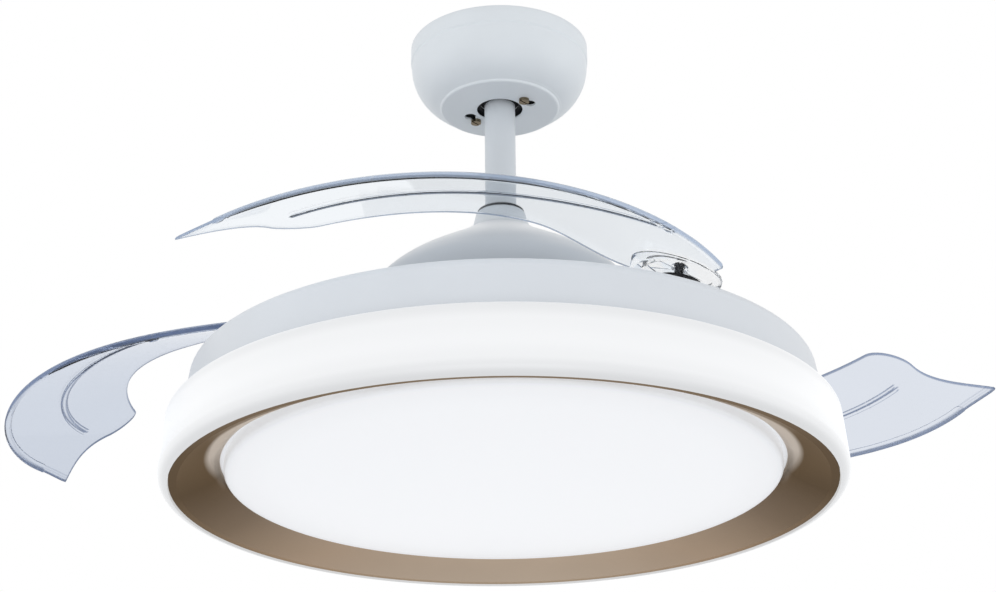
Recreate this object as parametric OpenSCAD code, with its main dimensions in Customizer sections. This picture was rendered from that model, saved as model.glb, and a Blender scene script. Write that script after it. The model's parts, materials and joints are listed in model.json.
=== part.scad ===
// Ceiling fan with three folding clear blades and a round lamp underneath.
// Millimetres. The origin is the centre of the ceiling bracket's upper face, +Z is up,
// so the whole fan hangs below zero.

/* [Canopy and ceiling bracket] */
// Outer radius of the canopy at the ceiling
canopy_r = 70; // [66:0.5:80]
// Height of the straight band at the top of the canopy
canopy_band_h = 14.6; // [8:0.1:20]
// Overall height of the canopy
canopy_h = 53.5; // [50:0.1:56]
// Radius of the flat bottom of the canopy
canopy_foot_r = 45.3; // [40:0.1:48]
// Sheet thickness of the canopy
canopy_wall = 1.6; // [1:0.1:2.5]
// Radius of the hole that the rod passes through
canopy_hole_r = 17.8; // [16.5:0.1:19]
// Radius of the circle that the two keyholes lie on
keyhole_pitch_r = 25.5; // [24:0.1:28]
// Angle from the narrow end of a keyhole to its round end
keyhole_sweep = 18; // [14:1:24]
// Length of the bracket's top plate
bracket_l = 108; // [96:1:116]
// Width of the bracket's strap
bracket_w = 34; // [28:1:40]
// Sheet thickness of the bracket
bracket_t = 2; // [1.5:0.1:3]
// Distance between the two ceiling slots
slot_pitch = 82; // [80:1:88]
// Width of a ceiling slot
slot_w = 6; // [5:0.1:8]
// Length of a ceiling slot, end to end
slot_l = 14; // [10:0.5:18]

/* [Hanging rod] */
// Radius of the hanger ball
ball_r = 20; // [18:0.1:22]
// Outer radius of the rod
rod_r = 12; // [11:0.1:13]
// Wall of the rod
rod_wall = 2.5; // [1.5:0.1:3.5]
// Height of the coupling cover's upper rim
cone_top_z = -143.5; // [-160:0.5:-120]
// Height of the coupling cover above the motor cover
cone_h = 19.5; // [17:0.5:24]
// Outer radius of the coupling cover's upper rim
cone_top_r = 19; // [18:0.1:21]
// Outer radius of the coupling cover above its flared foot
cone_foot_r = 22.6; // [22:0.1:25]
// Outer radius of the flared foot
cone_flare_r = 28.5; // [27:0.1:30]
// Outer radius of the black rubber ring on the upper rim
collar_r = 18; // [17:0.1:18.5]

/* [Motor] */
// Outer radius of the motor cover
cover_r = 102; // [100:0.5:106]
// Drop of the motor cover's sloping top
cover_dome_h = 56; // [52:0.5:60]
// Height of the straight wall of the motor cover
cover_skirt_h = 19; // [14:0.5:22]
// Sheet thickness of the motor cover
cover_wall = 1.6; // [1:0.1:2]
// Outer radius of the rotor housing
rotor_r = 90; // [84:0.5:91]
// Height of the rotor housing between its two plates
rotor_h = 34; // [33:0.5:36]
// Radius of the fixed shaft
shaft_r = 8.5; // [8:0.1:9.5]
// Radius of the wire hole through the shaft
shaft_bore_r = 5.5; // [4:0.1:6.5]
// Number of stator teeth
tooth_count = 12; // [9:3:18]

/* [Blades] */
// Number of blades
blade_count = 3; // [3:1:3]
// Distance from the fan's axis to a pivot
post_pitch_r = 179.3; // [176:0.1:182]
// Height of a pivot's reference point, halfway up the visible post
post_z = -249.8; // [-252:0.1:-248]
// Direction of the first pivot, seen from above
post_start_angle = -46.5; // [-180:1:180]
// Outward lean of a pivot
lean_out = 7; // [0:0.1:8]
// Sideways lean of a pivot
lean_side = 8.3; // [0:0.1:9]
// Radius of a pivot post
post_r = 3.3; // [2.8:0.05:3.6]
// Direction of a folded blade from the outward line
folded_angle = -157.5; // [-158:0.5:-150]
// Angle between the folded and the open stop
open_travel = 110; // [100:1:112]
// Opening of each blade at rest, from the folded stop
rest_opening = [19.8, 59.9, 79.4]; // [0:0.1:110]
// Reach of the blade's tip from its pivot
tip_reach = 337; // [325:1:345]
// Radius of the long leading edge
lead_r = 216; // [212:1:220]
// Radius of the rounded root of the leading edge
root_r = 180; // [170:1:190]
// Thickness of the clear sheet
sheet_t = 2.4; // [2:0.1:3.5]
// Radius of the arch that the sheet is bent to
arch_r = 581; // [540:1:700]
// Slope of the sheet at the hub
arch_slope = 9.8; // [8:0.1:12]
// Turn of the arch's axis from the blade's cross direction
arch_skew = 19; // [0:0.5:24]
// Downward pitch of the sheet towards the leading edge
blade_pitch = 10.6; // [8:0.1:12]
// Width of the thick rim along the leading edge
rim_w = 4.5; // [3:0.1:7]
// Height of the thick rim
rim_h = 5; // [4:0.1:7]
// Outer radius of the clear hub cup
hub_r = 30.5; // [29:0.5:33]
// Length by which the hub cup reaches further towards the blade
hub_reach = 4; // [2:0.5:10]
// Top of the hub's boss above the pivot's reference point
hub_top = 2.6; // [2:0.1:5]
// Lower edge of the hub cup, from the pivot's reference point
hub_low = -8; // [-9:0.5:-6]
// Wall of the hub cup
hub_wall = 2.2; // [1.8:0.1:3]
// Radius of the inner ring under the hub
hub_ring_r = 26; // [24:0.1:27]
// Number of ribs under the hub
hub_ribs = 6; // [5:1:8]
// Radius of the arc that the moulded rib follows
rib_arc_r = 202; // [196:1:206]
// Width of the moulded rib
rib_w = 5; // [3:0.1:7]
// Height of the moulded rib under the sheet
rib_h = 2; // [1:0.1:3]

/* [Blade carrier] */
// Distance from the circle of the pivots in to the carrier plate's edge
carrier_inset = 13.3; // [9:0.1:16]
// Height of the carrier plate's upper face
carrier_z = -268; // [-269:0.5:-267]
// Sheet thickness of the carrier plate
carrier_t = 3; // [2:0.1:3.5]
// Radius of the round seat under a blade
seat_r = 18; // [17:0.5:20]
// Top of the seat, from the pivot's reference point
seat_top = -11.8; // [-13:0.1:-11]

/* [Lamp] */
// Height of the drum's upper face
drum_top_z = -283.3; // [-286:0.1:-282]
// Widening of the drum from its upper edge to its foot
drum_taper = 5.5; // [3:0.1:9]
// Radius of the drum where the luminous ring starts
drum_foot_r = 236.5; // [233:0.5:240]
// Height of the luminous ring's upper ledge
ring_top_z = -321.5; // [-324:0.1:-318]
// Width of the ring's ledge, out from the drum
ring_ledge_w = 10.5; // [9:0.1:14]
// Bulge of the ring's wall beyond its ledge
ring_bulge = 3.3; // [1:0.1:6]
// Height of the ring's lowest edge
ring_foot_z = -371.5; // [-376:0.1:-368]
// Roll radius at the foot of the ring
ring_roll_r = 8; // [6:0.1:9]
// Wall of the ring
ring_wall = 2.2; // [1.6:0.1:3]
// Distance from the ring's largest radius in to the champagne bezel
ring_lip_w = 8.3; // [8:0.1:9]
// Width of the bezel, from its outer to its inner edge
bezel_w = 36; // [34:0.1:38]
// Width of the flat lip around the bezel
bezel_lip_w = 6; // [4:0.1:8]
// Rise of the bezel's hollow face from its lip to its inner edge
bezel_rise = 18; // [14:0.1:19]
// Drop of the diffuser's rounded edge below the bezel's inner edge
diffuser_drop = 8.4; // [6:0.1:10]
// Downward crown of the main diffuser
diffuser_crown = 4; // [2:0.1:5]
// Sheet thickness of the lamp's metal parts
lamp_sheet = 1.5; // [1:0.1:2]

/* [Hidden] */

eps = 0.01;
fit = 0.03;          // radial clearance of a running fit
seat_gap = 0.3;      // gap between faces that move past each other
snug = 0.02;         // radial clearance of a piece held in a bore
round_fn = 96;
fine_fn = 180;
screw_fn = 32;

canopy_paint = [0.82, 0.84, 0.86];
rod_paint = [0.79, 0.81, 0.83];
drum_paint = [0.84, 0.87, 0.89];
lamp_white = [0.96, 0.97, 0.98];
champagne = [0.55, 0.48, 0.40];
clear_blue = [0.76, 0.80, 0.88, 0.55];
black = [0.08, 0.08, 0.09];
zinc = [0.72, 0.73, 0.75];
steel = [0.60, 0.61, 0.63];
copper = [0.72, 0.40, 0.22];

// ---------------------------------------------------------------- helpers

function arc_points(centre, r, from, to, steps) =
    [for (i = [0:steps])
        let (a = from + (to - from) * i / steps)
        centre + r * [cos(a), sin(a)]];

function bezier_points(p, steps) =
    [for (i = [0:steps])
        let (t = i / steps, s = 1 - t)
        s*s*s*p[0] + 3*s*s*t*p[1] + 3*s*t*t*p[2] + t*t*t*p[3]];

module ring_of(count, r, start = 0) {
    for (i = [0:count - 1])
        rotate([0, 0, start + i * 360 / count])
            translate([r, 0, 0])
                children();
}

module tube(r_out, r_in, z_low, z_high, fn = round_fn) {
    translate([0, 0, z_low])
        difference() {
            cylinder(r = r_out, h = z_high - z_low, $fn = fn);
            translate([0, 0, -1])
                cylinder(r = r_in, h = z_high - z_low + 2, $fn = fn);
        }
}

module disc(r, z_low, z_high, fn = round_fn) {
    translate([0, 0, z_low])
        cylinder(r = r, h = z_high - z_low, $fn = fn);
}

// A pan-head screw whose head lies below z = 0, with its shank above.
module screw_up(shank_r, shank_l, head_r, head_h) {
    translate([0, 0, -head_h])
        cylinder(r = head_r, h = head_h, $fn = screw_fn);
    translate([0, 0, -eps])
        cylinder(r = shank_r, h = shank_l + eps, $fn = screw_fn);
}

module screw_down(shank_r, shank_l, head_r, head_h) {
    mirror([0, 0, 1])
        screw_up(shank_r, shank_l, head_r, head_h);
}

// ---------------------------------------------------------------- ceiling bracket

bracket_floor_z = -48;                       // upper face of the bracket's floor
bracket_floor_r = 35;
bracket_leg_x = 33;
ball_seat_r = 15;
ball_z = bracket_floor_z + sqrt(pow(ball_r + seat_gap, 2) - pow(ball_seat_r, 2));
ball_cut_z = -51;
screw_angle = 138;                           // direction of the first canopy screw
canopy_screw_r = 2;
canopy_head_r = 4;
canopy_head_h = 2.6;
wire_hole_r = 9;

module ceiling_slot() {
    for (s = [-1, 1])
        translate([s * (slot_l - slot_w) / 2, 0, -bracket_t - 1])
            cylinder(d = slot_w, h = bracket_t + 2, $fn = round_fn);
    translate([-(slot_l - slot_w) / 2, -slot_w / 2, -bracket_t - 1])
        cube([slot_l - slot_w, slot_w, bracket_t + 2]);
}

module ceiling_bracket() {
    color(zinc)
        difference() {
            union() {
                translate([-bracket_l / 2, -bracket_w / 2, -bracket_t])
                    cube([bracket_l, bracket_w, bracket_t]);
                for (s = [-1, 1])
                    translate([s * bracket_leg_x - bracket_t / 2, -bracket_w / 2, bracket_floor_z])
                        cube([bracket_t, bracket_w, -bracket_floor_z - bracket_t + eps]);
                disc(bracket_floor_r, bracket_floor_z - bracket_t, bracket_floor_z);
            }
            for (s = [-1, 1])
                translate([s * slot_pitch / 2, 0, 0])
                    ceiling_slot();
            disc(ball_seat_r, bracket_floor_z - bracket_t - 1, bracket_floor_z + 1);
            disc(wire_hole_r, -bracket_t - 1, 1);
            ring_of(2, keyhole_pitch_r, screw_angle)
                translate([0, 0, bracket_floor_z - bracket_t - 1])
                    cylinder(r = canopy_screw_r + snug, h = bracket_t + 2, $fn = screw_fn);
        }
}

receiver_size = [56, 30, 10];

module receiver_box() {
    corner = 4;
    color(black)
        difference() {
            union() {
                translate([-receiver_size[0] / 2, -receiver_size[1] / 2 + corner, -bracket_t - receiver_size[2]])
                    cube([receiver_size[0], receiver_size[1] - 2 * corner, receiver_size[2]]);
                translate([-receiver_size[0] / 2 + corner, -receiver_size[1] / 2, -bracket_t - receiver_size[2]])
                    cube([receiver_size[0] - 2 * corner, receiver_size[1], receiver_size[2]]);
                for (x = [-1, 1], y = [-1, 1])
                    translate([
                        x * (receiver_size[0] / 2 - corner),
                        y * (receiver_size[1] / 2 - corner),
                        -bracket_t - receiver_size[2]
                    ])
                        cylinder(r = corner, h = receiver_size[2], $fn = screw_fn);
            }
            disc(wire_hole_r, -bracket_t - receiver_size[2] / 2, 1);
        }
}

// ---------------------------------------------------------------- canopy

foot_step = 3;                               // small shoulder above the flat foot
bowl_z = -(canopy_h - foot_step);
bowl_centre = [canopy_foot_r - 14.5, -canopy_band_h - 1.4];

function canopy_profile(inset) =
    let (
        bowl_rx = canopy_r - 0.7 - bowl_centre[0],
        bowl_rz = bowl_centre[1] - bowl_z + 1.6
    )
    concat(
        [[canopy_r - inset, 0], [canopy_r - inset, -canopy_band_h]],
        [for (i = [0:14])
            let (a = i * 62 / 14)
            [bowl_centre[0] + (bowl_rx - inset) * cos(a), bowl_centre[1] - (bowl_rz - inset) * sin(a)]],
        [[canopy_foot_r + 1.2 - inset, -canopy_h + 1.2 + inset], [canopy_foot_r - inset, -canopy_h + inset]]
    );

module canopy() {
    outside = concat(canopy_profile(0), [[0, -canopy_h], [0, 0]]);
    inside = concat(canopy_profile(canopy_wall), [[0, -canopy_h + canopy_wall], [0, 0]]);
    color(canopy_paint)
        difference() {
            rotate_extrude($fn = fine_fn)
                difference() {
                    polygon(outside);
                    polygon(concat([for (p = inside) p[1] == 0 ? [p[0], 1] : p]));
                }
            disc(canopy_hole_r, -canopy_h - 1, -canopy_h + canopy_wall + 1);
            for (turn = [0, 180])
                rotate([0, 0, turn + screw_angle])
                    translate([0, 0, -canopy_h - 1])
                        keyhole(canopy_wall + 2);
        }
}

module keyhole(h) {
    slot_half = canopy_screw_r + 0.3;
    rotate_extrude(angle = keyhole_sweep, $fn = round_fn)
        translate([keyhole_pitch_r - slot_half, 0])
            square([2 * slot_half, h]);
    translate([keyhole_pitch_r, 0, 0])
        cylinder(r = slot_half, h = h, $fn = screw_fn);
    rotate([0, 0, keyhole_sweep])
        translate([keyhole_pitch_r, 0, 0])
            cylinder(r = canopy_head_r + 0.6, h = h, $fn = screw_fn);
}

module canopy_screws() {
    color(zinc)
        ring_of(2, keyhole_pitch_r, screw_angle)
            translate([0, 0, -canopy_h])
                difference() {
                    screw_up(canopy_screw_r, canopy_h + bracket_floor_z + 2, canopy_head_r, canopy_head_h);
                    translate([-0.5, -canopy_head_r, -canopy_head_h - eps])
                        cube([1, 2 * canopy_head_r, 1.1]);
                }
}

// ---------------------------------------------------------------- hanging rod

pin_r = 3;
rod_top_z = ball_z + 12;
rod_foot_z = -172;
yoke_pin_z = -157;

module hanger_ball() {
    color(black)
        difference() {
            translate([0, 0, ball_z])
                sphere(r = ball_r, $fn = round_fn);
            disc(rod_r + snug, ball_z - ball_r - 1, ball_z + ball_r + 1);
            disc(ball_r, ball_cut_z - ball_r, ball_cut_z);
            translate([0, 0, ball_z])
                rotate([0, 90, 0])
                    cylinder(r = pin_r + snug, h = 2 * ball_r + 2, center = true, $fn = screw_fn);
        }
}

module cross_pin() {
    color(steel)
        translate([0, 0, ball_z])
            rotate([0, 90, 0])
                cylinder(r = pin_r, h = 2 * ball_r - 4, center = true, $fn = screw_fn);
}

module downrod() {
    color(rod_paint)
        difference() {
            tube(rod_r, rod_r - rod_wall, rod_foot_z, rod_top_z);
            for (z = [ball_z, yoke_pin_z])
                translate([0, 0, z])
                    rotate([0, 90, 0])
                        cylinder(r = pin_r + snug, h = 2 * rod_r + 2, center = true, $fn = screw_fn);
        }
}

collar_h = 2.4;

// A rubber ring that closes the gap between the rod and the coupling cover's rim.
module rod_collar() {
    edge = 0.8;
    color(black)
        rotate_extrude($fn = round_fn)
            polygon(concat(
                [[rod_r + snug, cone_top_z - 6], [cone_top_r - cone_wall - 1, cone_top_z - 6]],
                [[cone_top_r - cone_wall - 1, cone_top_z], [collar_r, cone_top_z]],
                arc_points([collar_r - edge, cone_top_z + collar_h - edge], edge, 0, 90, 5),
                [[rod_r + snug, cone_top_z + collar_h]]
            ));
}

cone_wall = 1.5;
cover_top_z = cone_top_z - cone_h;

function cone_profile() = concat(
    arc_points([cone_top_r - 1, cone_top_z - 1], 1, 90, 10, 4),
    [[cone_foot_r - 1.2, cover_top_z + 8.5]],
    bezier_points([
        [cone_foot_r - 0.2, cover_top_z + 6],
        [cone_foot_r + 0.6, cover_top_z + 3.6],
        [cone_flare_r - 3, cover_top_z + 1.6],
        [cone_flare_r, cover_top_z]
    ], 6)
);

module coupling_cover() {
    color(rod_paint)
        rotate_extrude($fn = round_fn)
            difference() {
                polygon(concat(cone_profile(), [[0, cover_top_z], [0, cone_top_z]]));
                polygon([
                    [0, cone_top_z + 1],
                    [cone_top_r - cone_wall, cone_top_z + 1],
                    [cone_top_r - cone_wall, cone_top_z - 2],
                    [cone_foot_r - 1.2 - cone_wall, cover_top_z + 8.5],
                    [cone_foot_r + 0.4, cover_top_z - 1],
                    [0, cover_top_z - 1]
                ]);
            }
}

yoke_r = 15.5;
yoke_flange_z = cover_top_z - cover_wall;
yoke_flange_t = 5;
yoke_flange_r = 26;
yoke_foot_z = -192;
yoke_foot_r = 14;
yoke_top_z = -150;
cover_screw_r = 18.6;
cover_screw_count = 3;

module yoke() {
    color(steel)
        difference() {
            union() {
                disc(yoke_r, yoke_flange_z - yoke_flange_t, yoke_top_z);
                disc(yoke_flange_r, yoke_flange_z - yoke_flange_t, yoke_flange_z);
                disc(yoke_foot_r, yoke_foot_z, yoke_flange_z);
            }
            disc(rod_r + snug, rod_foot_z, yoke_top_z + 1);
            disc(shaft_r + snug, yoke_foot_z - 1, rod_foot_z + 1);
            translate([0, 0, yoke_pin_z])
                rotate([0, 90, 0])
                    cylinder(r = pin_r + snug, h = 2 * yoke_r + 2, center = true, $fn = screw_fn);
            translate([0, 0, set_screw_z])
                rotate([0, 90, 0])
                    cylinder(r = set_screw_r + snug, h = yoke_foot_r + 2, $fn = screw_fn);
            ring_of(cover_screw_count, cover_screw_r, 30)
                disc(1.5 + snug, yoke_flange_z - yoke_flange_t - 1, yoke_flange_z + 1, screw_fn);
        }
}

module yoke_bolt() {
    color(zinc)
        translate([0, 0, yoke_pin_z])
            rotate([0, 90, 0])
                cylinder(r = pin_r, h = 2 * yoke_r, center = true, $fn = screw_fn);
}

set_screw_r = 2.5;
set_screw_z = -183;

module shaft_set_screw() {
    color(black)
        translate([shaft_r + snug, 0, set_screw_z])
            rotate([0, 90, 0])
                cylinder(r = set_screw_r, h = yoke_foot_r - shaft_r - 0.5, $fn = screw_fn);
}

// ---------------------------------------------------------------- motor cover

cover_seat_r = 28.5;
cover_low_z = cover_top_z - cover_dome_h;
cover_foot_z = cover_low_z - cover_skirt_h;
cover_hole_r = 16;

function cover_profile(inset) = concat(
    [[cover_seat_r, cover_top_z - inset]],
    bezier_points([
        [cover_seat_r + 2, cover_top_z - 1 - inset],
        [cover_r * 0.53 - inset, cover_top_z - 0.312 * cover_dome_h - inset],
        [cover_r * 0.912 - inset, cover_top_z - 0.59 * cover_dome_h - inset],
        [cover_r - inset, cover_low_z]
    ], 18)
);

module motor_cover() {
    color(rod_paint)
        difference() {
            rotate_extrude($fn = fine_fn)
                polygon(concat(
                    [[cover_hole_r, cover_top_z]],
                    cover_profile(0),
                    [[cover_r, cover_foot_z], [cover_r - cover_wall, cover_foot_z]],
                    [for (i = [0:19]) cover_profile(cover_wall)[19 - i]],
                    [[cover_hole_r, cover_top_z - cover_wall]]
                ));
            ring_of(cover_screw_count, cover_screw_r, 30)
                disc(1.5 + snug, cover_top_z - 10, cover_top_z + 10, screw_fn);
        }
}

module cover_screws() {
    color(zinc)
        ring_of(cover_screw_count, cover_screw_r, 30)
            translate([0, 0, cover_top_z])
                screw_down(1.5, 6, 2.2, 1.4);
}

// ---------------------------------------------------------------- motor

rotor_top_z = -207;
rotor_wall = 3;
rotor_low_z = rotor_top_z - rotor_h;
bearing_r = 20;
bearing_w = 12;
boss_r = 24;
magnet_t = 5;
air_gap = 0.8;
magnet_out_r = rotor_r - rotor_wall - snug;
stator_r = magnet_out_r - magnet_t - air_gap;
stator_h = 20;
stator_mid_z = (rotor_top_z + rotor_low_z) / 2;
shaft_top_z = rod_foot_z;
shaft_foot_z = -299;

module motor_shaft() {
    color(steel)
        difference() {
            tube(shaft_r, shaft_bore_r, shaft_foot_z, shaft_top_z, 64);
            translate([shaft_r - 0.6, -5, set_screw_z - 5])
                cube([2, 10, 10]);
        }
}

module tooth_shape() {
    root = stator_r * 0.52;
    neck = stator_r * 0.16;
    union() {
        translate([root, -neck / 2])
            square([stator_r - root - 3, neck]);
        intersection() {
            difference() {
                circle(r = stator_r, $fn = fine_fn);
                circle(r = stator_r - 4, $fn = fine_fn);
            }
            polygon([
                [0, 0],
                stator_r * 1.2 * [cos(360 / tooth_count * 0.42), -sin(360 / tooth_count * 0.42)],
                stator_r * 1.2 * [cos(360 / tooth_count * 0.42), sin(360 / tooth_count * 0.42)]
            ]);
        }
    }
}

module stator_core() {
    color(steel)
        translate([0, 0, stator_mid_z])
            linear_extrude(height = stator_h, center = true)
                difference() {
                    union() {
                        circle(r = stator_r * 0.56, $fn = fine_fn);
                        for (i = [0:tooth_count - 1])
                            rotate(i * 360 / tooth_count)
                                tooth_shape();
                    }
                    circle(r = shaft_r + snug, $fn = 64);
                    for (i = [0:5])
                        rotate(i * 60)
                            translate([stator_r * 0.35, 0])
                                circle(r = 6, $fn = 32);
                }
}

module stator_coils() {
    coil_w = stator_r * 0.16;
    coil_gap = 0.3;
    coil_side = 3.2;
    coil_in = stator_r * 0.56 + 1.5;
    coil_out = stator_r - 6;
    height = stator_h + 6;
    color(copper)
        for (i = [0:tooth_count - 1])
            rotate([0, 0, i * 360 / tooth_count])
                translate([coil_in, 0, stator_mid_z])
                    difference() {
                        translate([0, -coil_w / 2 - coil_gap - coil_side, -height / 2])
                            cube([coil_out - coil_in, coil_w + 2 * coil_gap + 2 * coil_side, height]);
                        translate([-1, -coil_w / 2 - coil_gap, -stator_h / 2 - coil_gap])
                            cube([coil_out - coil_in + 2, coil_w + 2 * coil_gap, stator_h + 2 * coil_gap]);
                    }
}

module rotor_top() {
    color(steel)
        difference() {
            rotate_extrude($fn = fine_fn)
                polygon([
                    [bearing_r + snug, rotor_top_z - 3],
                    [bearing_r + snug, rotor_top_z + 8],
                    [boss_r, rotor_top_z + 8],
                    [boss_r, rotor_top_z],
                    [rotor_r - 2, rotor_top_z],
                    [rotor_r, rotor_top_z - 2],
                    [rotor_r, rotor_low_z + 4],
                    [rotor_r - rotor_wall, rotor_low_z + 4],
                    [rotor_r - rotor_wall, rotor_top_z - 3]
                ]);
            ring_of(3, 52)
                disc(8, rotor_top_z - 4, rotor_top_z + 1, 48);
        }
}

module rotor_bottom() {
    color(steel)
        difference() {
            rotate_extrude($fn = fine_fn)
                polygon([
                    [bearing_r + snug, rotor_low_z + 4],
                    [rotor_r, rotor_low_z + 4],
                    [rotor_r, rotor_low_z],
                    [boss_r, rotor_low_z],
                    [boss_r, rotor_low_z - 9],
                    [bearing_r + snug, rotor_low_z - 9]
                ]);
            ring_of(6, carrier_bolt_r, 30)
                disc(2 + snug, rotor_low_z - 1, rotor_low_z + 5, screw_fn);
        }
}

module magnet_ring() {
    color(black)
        tube(magnet_out_r, magnet_out_r - magnet_t, stator_mid_z - 13, stator_mid_z + 13, fine_fn);
}

module bearing(z_low) {
    color(steel)
        union() {
            tube(bearing_r, bearing_r - 3, z_low, z_low + bearing_w);
            tube(shaft_r + fit + 3, shaft_r + fit, z_low, z_low + bearing_w);
            tube(bearing_r - 2, shaft_r + 2, z_low + 1, z_low + bearing_w - 1);
        }
}

module upper_bearing() {
    bearing(rotor_top_z + 8 - bearing_w);
}

module lower_bearing() {
    bearing(rotor_low_z - 9);
}

module rotor_screws() {
    color(zinc)
        ring_of(6, carrier_bolt_r, 30)
            translate([0, 0, rotor_low_z - carrier_t])
                screw_up(2, carrier_t + 4, 3.8, 2.4);
}

// ---------------------------------------------------------------- blade carrier

carrier_bolt_r = 50;
carrier_cup_r = 64;
carrier_flange_r = 84;
carrier_r = post_pitch_r - carrier_inset;

module carrier_outline() {
    circle(r = carrier_r, $fn = fine_fn);
    for (i = [0:blade_count - 1])
        rotate(post_start_angle + i * 360 / blade_count)
            translate([post_pitch_r, 0])
                circle(r = seat_r, $fn = round_fn);
}

module blade_carrier() {
    color(black)
        difference() {
            union() {
                rotate_extrude($fn = fine_fn)
                    polygon([
                        [boss_r + 0.5, rotor_low_z],
                        [carrier_cup_r, rotor_low_z],
                        [carrier_flange_r, carrier_z],
                        [carrier_flange_r + 4, carrier_z],
                        [carrier_flange_r + 4, carrier_z - carrier_t],
                        [carrier_flange_r - 2, carrier_z - carrier_t],
                        [carrier_cup_r - 2, rotor_low_z - carrier_t],
                        [boss_r + 0.5, rotor_low_z - carrier_t]
                    ]);
                translate([0, 0, carrier_z - carrier_t])
                    linear_extrude(height = carrier_t)
                        difference() {
                            carrier_outline();
                            circle(r = carrier_flange_r + 3, $fn = fine_fn);
                        }
            }
            ring_of(6, carrier_bolt_r, 30)
                disc(2 + snug, rotor_low_z - carrier_t - 1, rotor_low_z + 1, screw_fn);
            each_pivot()
                disc(bush_flange_r + seat_gap, -40, 0, 64);
            each_seat_screw()
                disc(1.5 + snug, carrier_z - carrier_t - 1, carrier_z + 1, screw_fn);
        }
}

// ---------------------------------------------------------------- blade pivots

bush_r = 5.3;
bush_flange_r = 7;
bush_low = -21;
seat_screw_r = 12.6;
stop_arm_r = 13;
stop_arm_w = 5;
stop_arm_t = 2;
stop_arm_top = -25;
stop_pin_r = 1.6;
stop_pitch_r = 11;
// Half of the angle that the arm and a pin take up together at the stop.
stop_half_angle = asin((stop_arm_w / 2 + stop_pin_r) / stop_pitch_r);
post_low = -28.6;
spring_wire_r = 0.75;
spring_coil_r = 6.4;

// Places the children at a pivot, with +Z along the leaning post and +X outward.
module at_pivot(i) {
    rotate([0, 0, post_start_angle + i * 360 / blade_count])
        translate([post_pitch_r, 0, post_z])
            rotate([-lean_side, lean_out, 0])
                children();
}

module each_pivot() {
    for (i = [0:blade_count - 1])
        at_pivot(i)
            children();
}

// Three screws per seat, on its outboard side, clear of the stop arm.
module each_seat_screw() {
    ring_of(blade_count, post_pitch_r, post_start_angle)
        for (a = [-65, 0, 65])
            rotate([0, 0, a])
                translate([seat_screw_r, 0, 0])
                    children();
}

module seat_screws() {
    color(zinc)
        each_seat_screw()
            translate([0, 0, carrier_z - carrier_t])
                screw_up(1.5, carrier_t + 1.6, 2.4, 1.4);
}

// Each seat is a round block whose top leans with the post.
module pivot_seats() {
    color(black)
        difference() {
            intersection() {
                each_pivot()
                    disc(seat_r, -40, seat_top);
                disc(post_pitch_r + 2 * seat_r, carrier_z, carrier_z + 40, fine_fn);
            }
            each_pivot()
                disc(bush_r + snug, -40, 1, 64);
            each_seat_screw()
                disc(1.5 + snug, carrier_z - 1, carrier_z + 2, screw_fn);
        }
}

module pivot_bushes() {
    color(lamp_white)
        each_pivot() {
            tube(bush_r, post_r + fit, bush_low, seat_top, 64);
            tube(bush_flange_r, post_r + fit, seat_top + snug, seat_top + 1.2, 64);
        }
}

module stop_pins() {
    middle = 180;
    swing = open_travel / 2 + stop_half_angle;
    color(black)
        intersection() {
            each_pivot()
                for (a = [middle - swing, middle + swing])
                    rotate([0, 0, a])
                        translate([stop_pitch_r, 0, stop_arm_top - stop_arm_t])
                            cylinder(r = stop_pin_r, h = 30, $fn = screw_fn);
            disc(post_pitch_r + 2 * seat_r, carrier_z - carrier_t - 20, carrier_z - carrier_t, fine_fn);
        }
}

module return_springs() {
    color(steel)
        each_pivot()
            rotate_extrude($fn = 64)
                for (k = [0:1])
                    translate([spring_coil_r, bush_low - 0.2 - spring_wire_r - k * 1.92 * spring_wire_r])
                        circle(r = spring_wire_r, $fn = 24);
}

// ---------------------------------------------------------------- blades

lead_centre = [156.6, -67];
lead_start = 127.7;
lead_end = 47.5;
root_end = 156;
root_centre = lead_centre + (lead_r - root_r) * [cos(lead_start), sin(lead_start)];
tip_end = [tip_reach, 61];
notch = [tip_reach - 55, 39];
bump = [tip_reach - 88, 23.5];
neck = [98, 39];
root_steps = 8;
lead_steps = 28;

function leading_edge(inset) = concat(
    arc_points(root_centre, root_r - inset, root_end, lead_start, root_steps),
    arc_points(lead_centre, lead_r - inset, lead_start, lead_end, lead_steps)
);

function tip_curve() =
    let (end = lead_centre + lead_r * [cos(lead_end), sin(lead_end)])
    bezier_points([
        end,
        end + 20 * [sin(lead_end), -cos(lead_end)],
        tip_end + [-1, 3],
        tip_end
    ], 6);

// From the tip round the notch and the bump to the neck and the hub.
function trailing_edge() = concat(
    bezier_points([tip_end, tip_end + [-17, -2], notch + [8, 21], notch], 10),
    bezier_points([notch, notch + [-3.5, -11], bump + [11, -5.5], bump], 8),
    bezier_points([bump, bump + [-32, 17.5], neck + [46, 33], neck], 14),
    bezier_points([neck, neck + [-22, -16], [56, -38], [20, -27]], 10)
);

module blade_outline() {
    root_tip = root_centre + root_r * [cos(root_end), sin(root_end)];
    tail_r = 8;
    tail_centre = root_tip + tail_r * [-cos(root_end), -sin(root_end)];
    polygon(concat(
        leading_edge(0),
        tip_curve(),
        trailing_edge(),
        [[0, 0]],
        arc_points(tail_centre, tail_r, root_end + 60, root_end, 5)
    ));
}

edge_last = root_steps + lead_steps + 1;

module rim_outline() {
    polygon(concat(
        leading_edge(0),
        [for (i = [edge_last:-1:0]) leading_edge(rim_w)[i]]
    ));
}

rib_centre = [135, -95];
rib_tip_angle = 51;
rib_root_angle = 120;

module rib_outline() {
    polygon(concat(
        arc_points(rib_centre, rib_arc_r + rib_w / 2, rib_tip_angle + 1, rib_root_angle - 1, 24),
        arc_points(rib_centre, rib_arc_r - rib_w / 2, rib_root_angle + 1, rib_tip_angle, 24)
    ));
}

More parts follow.
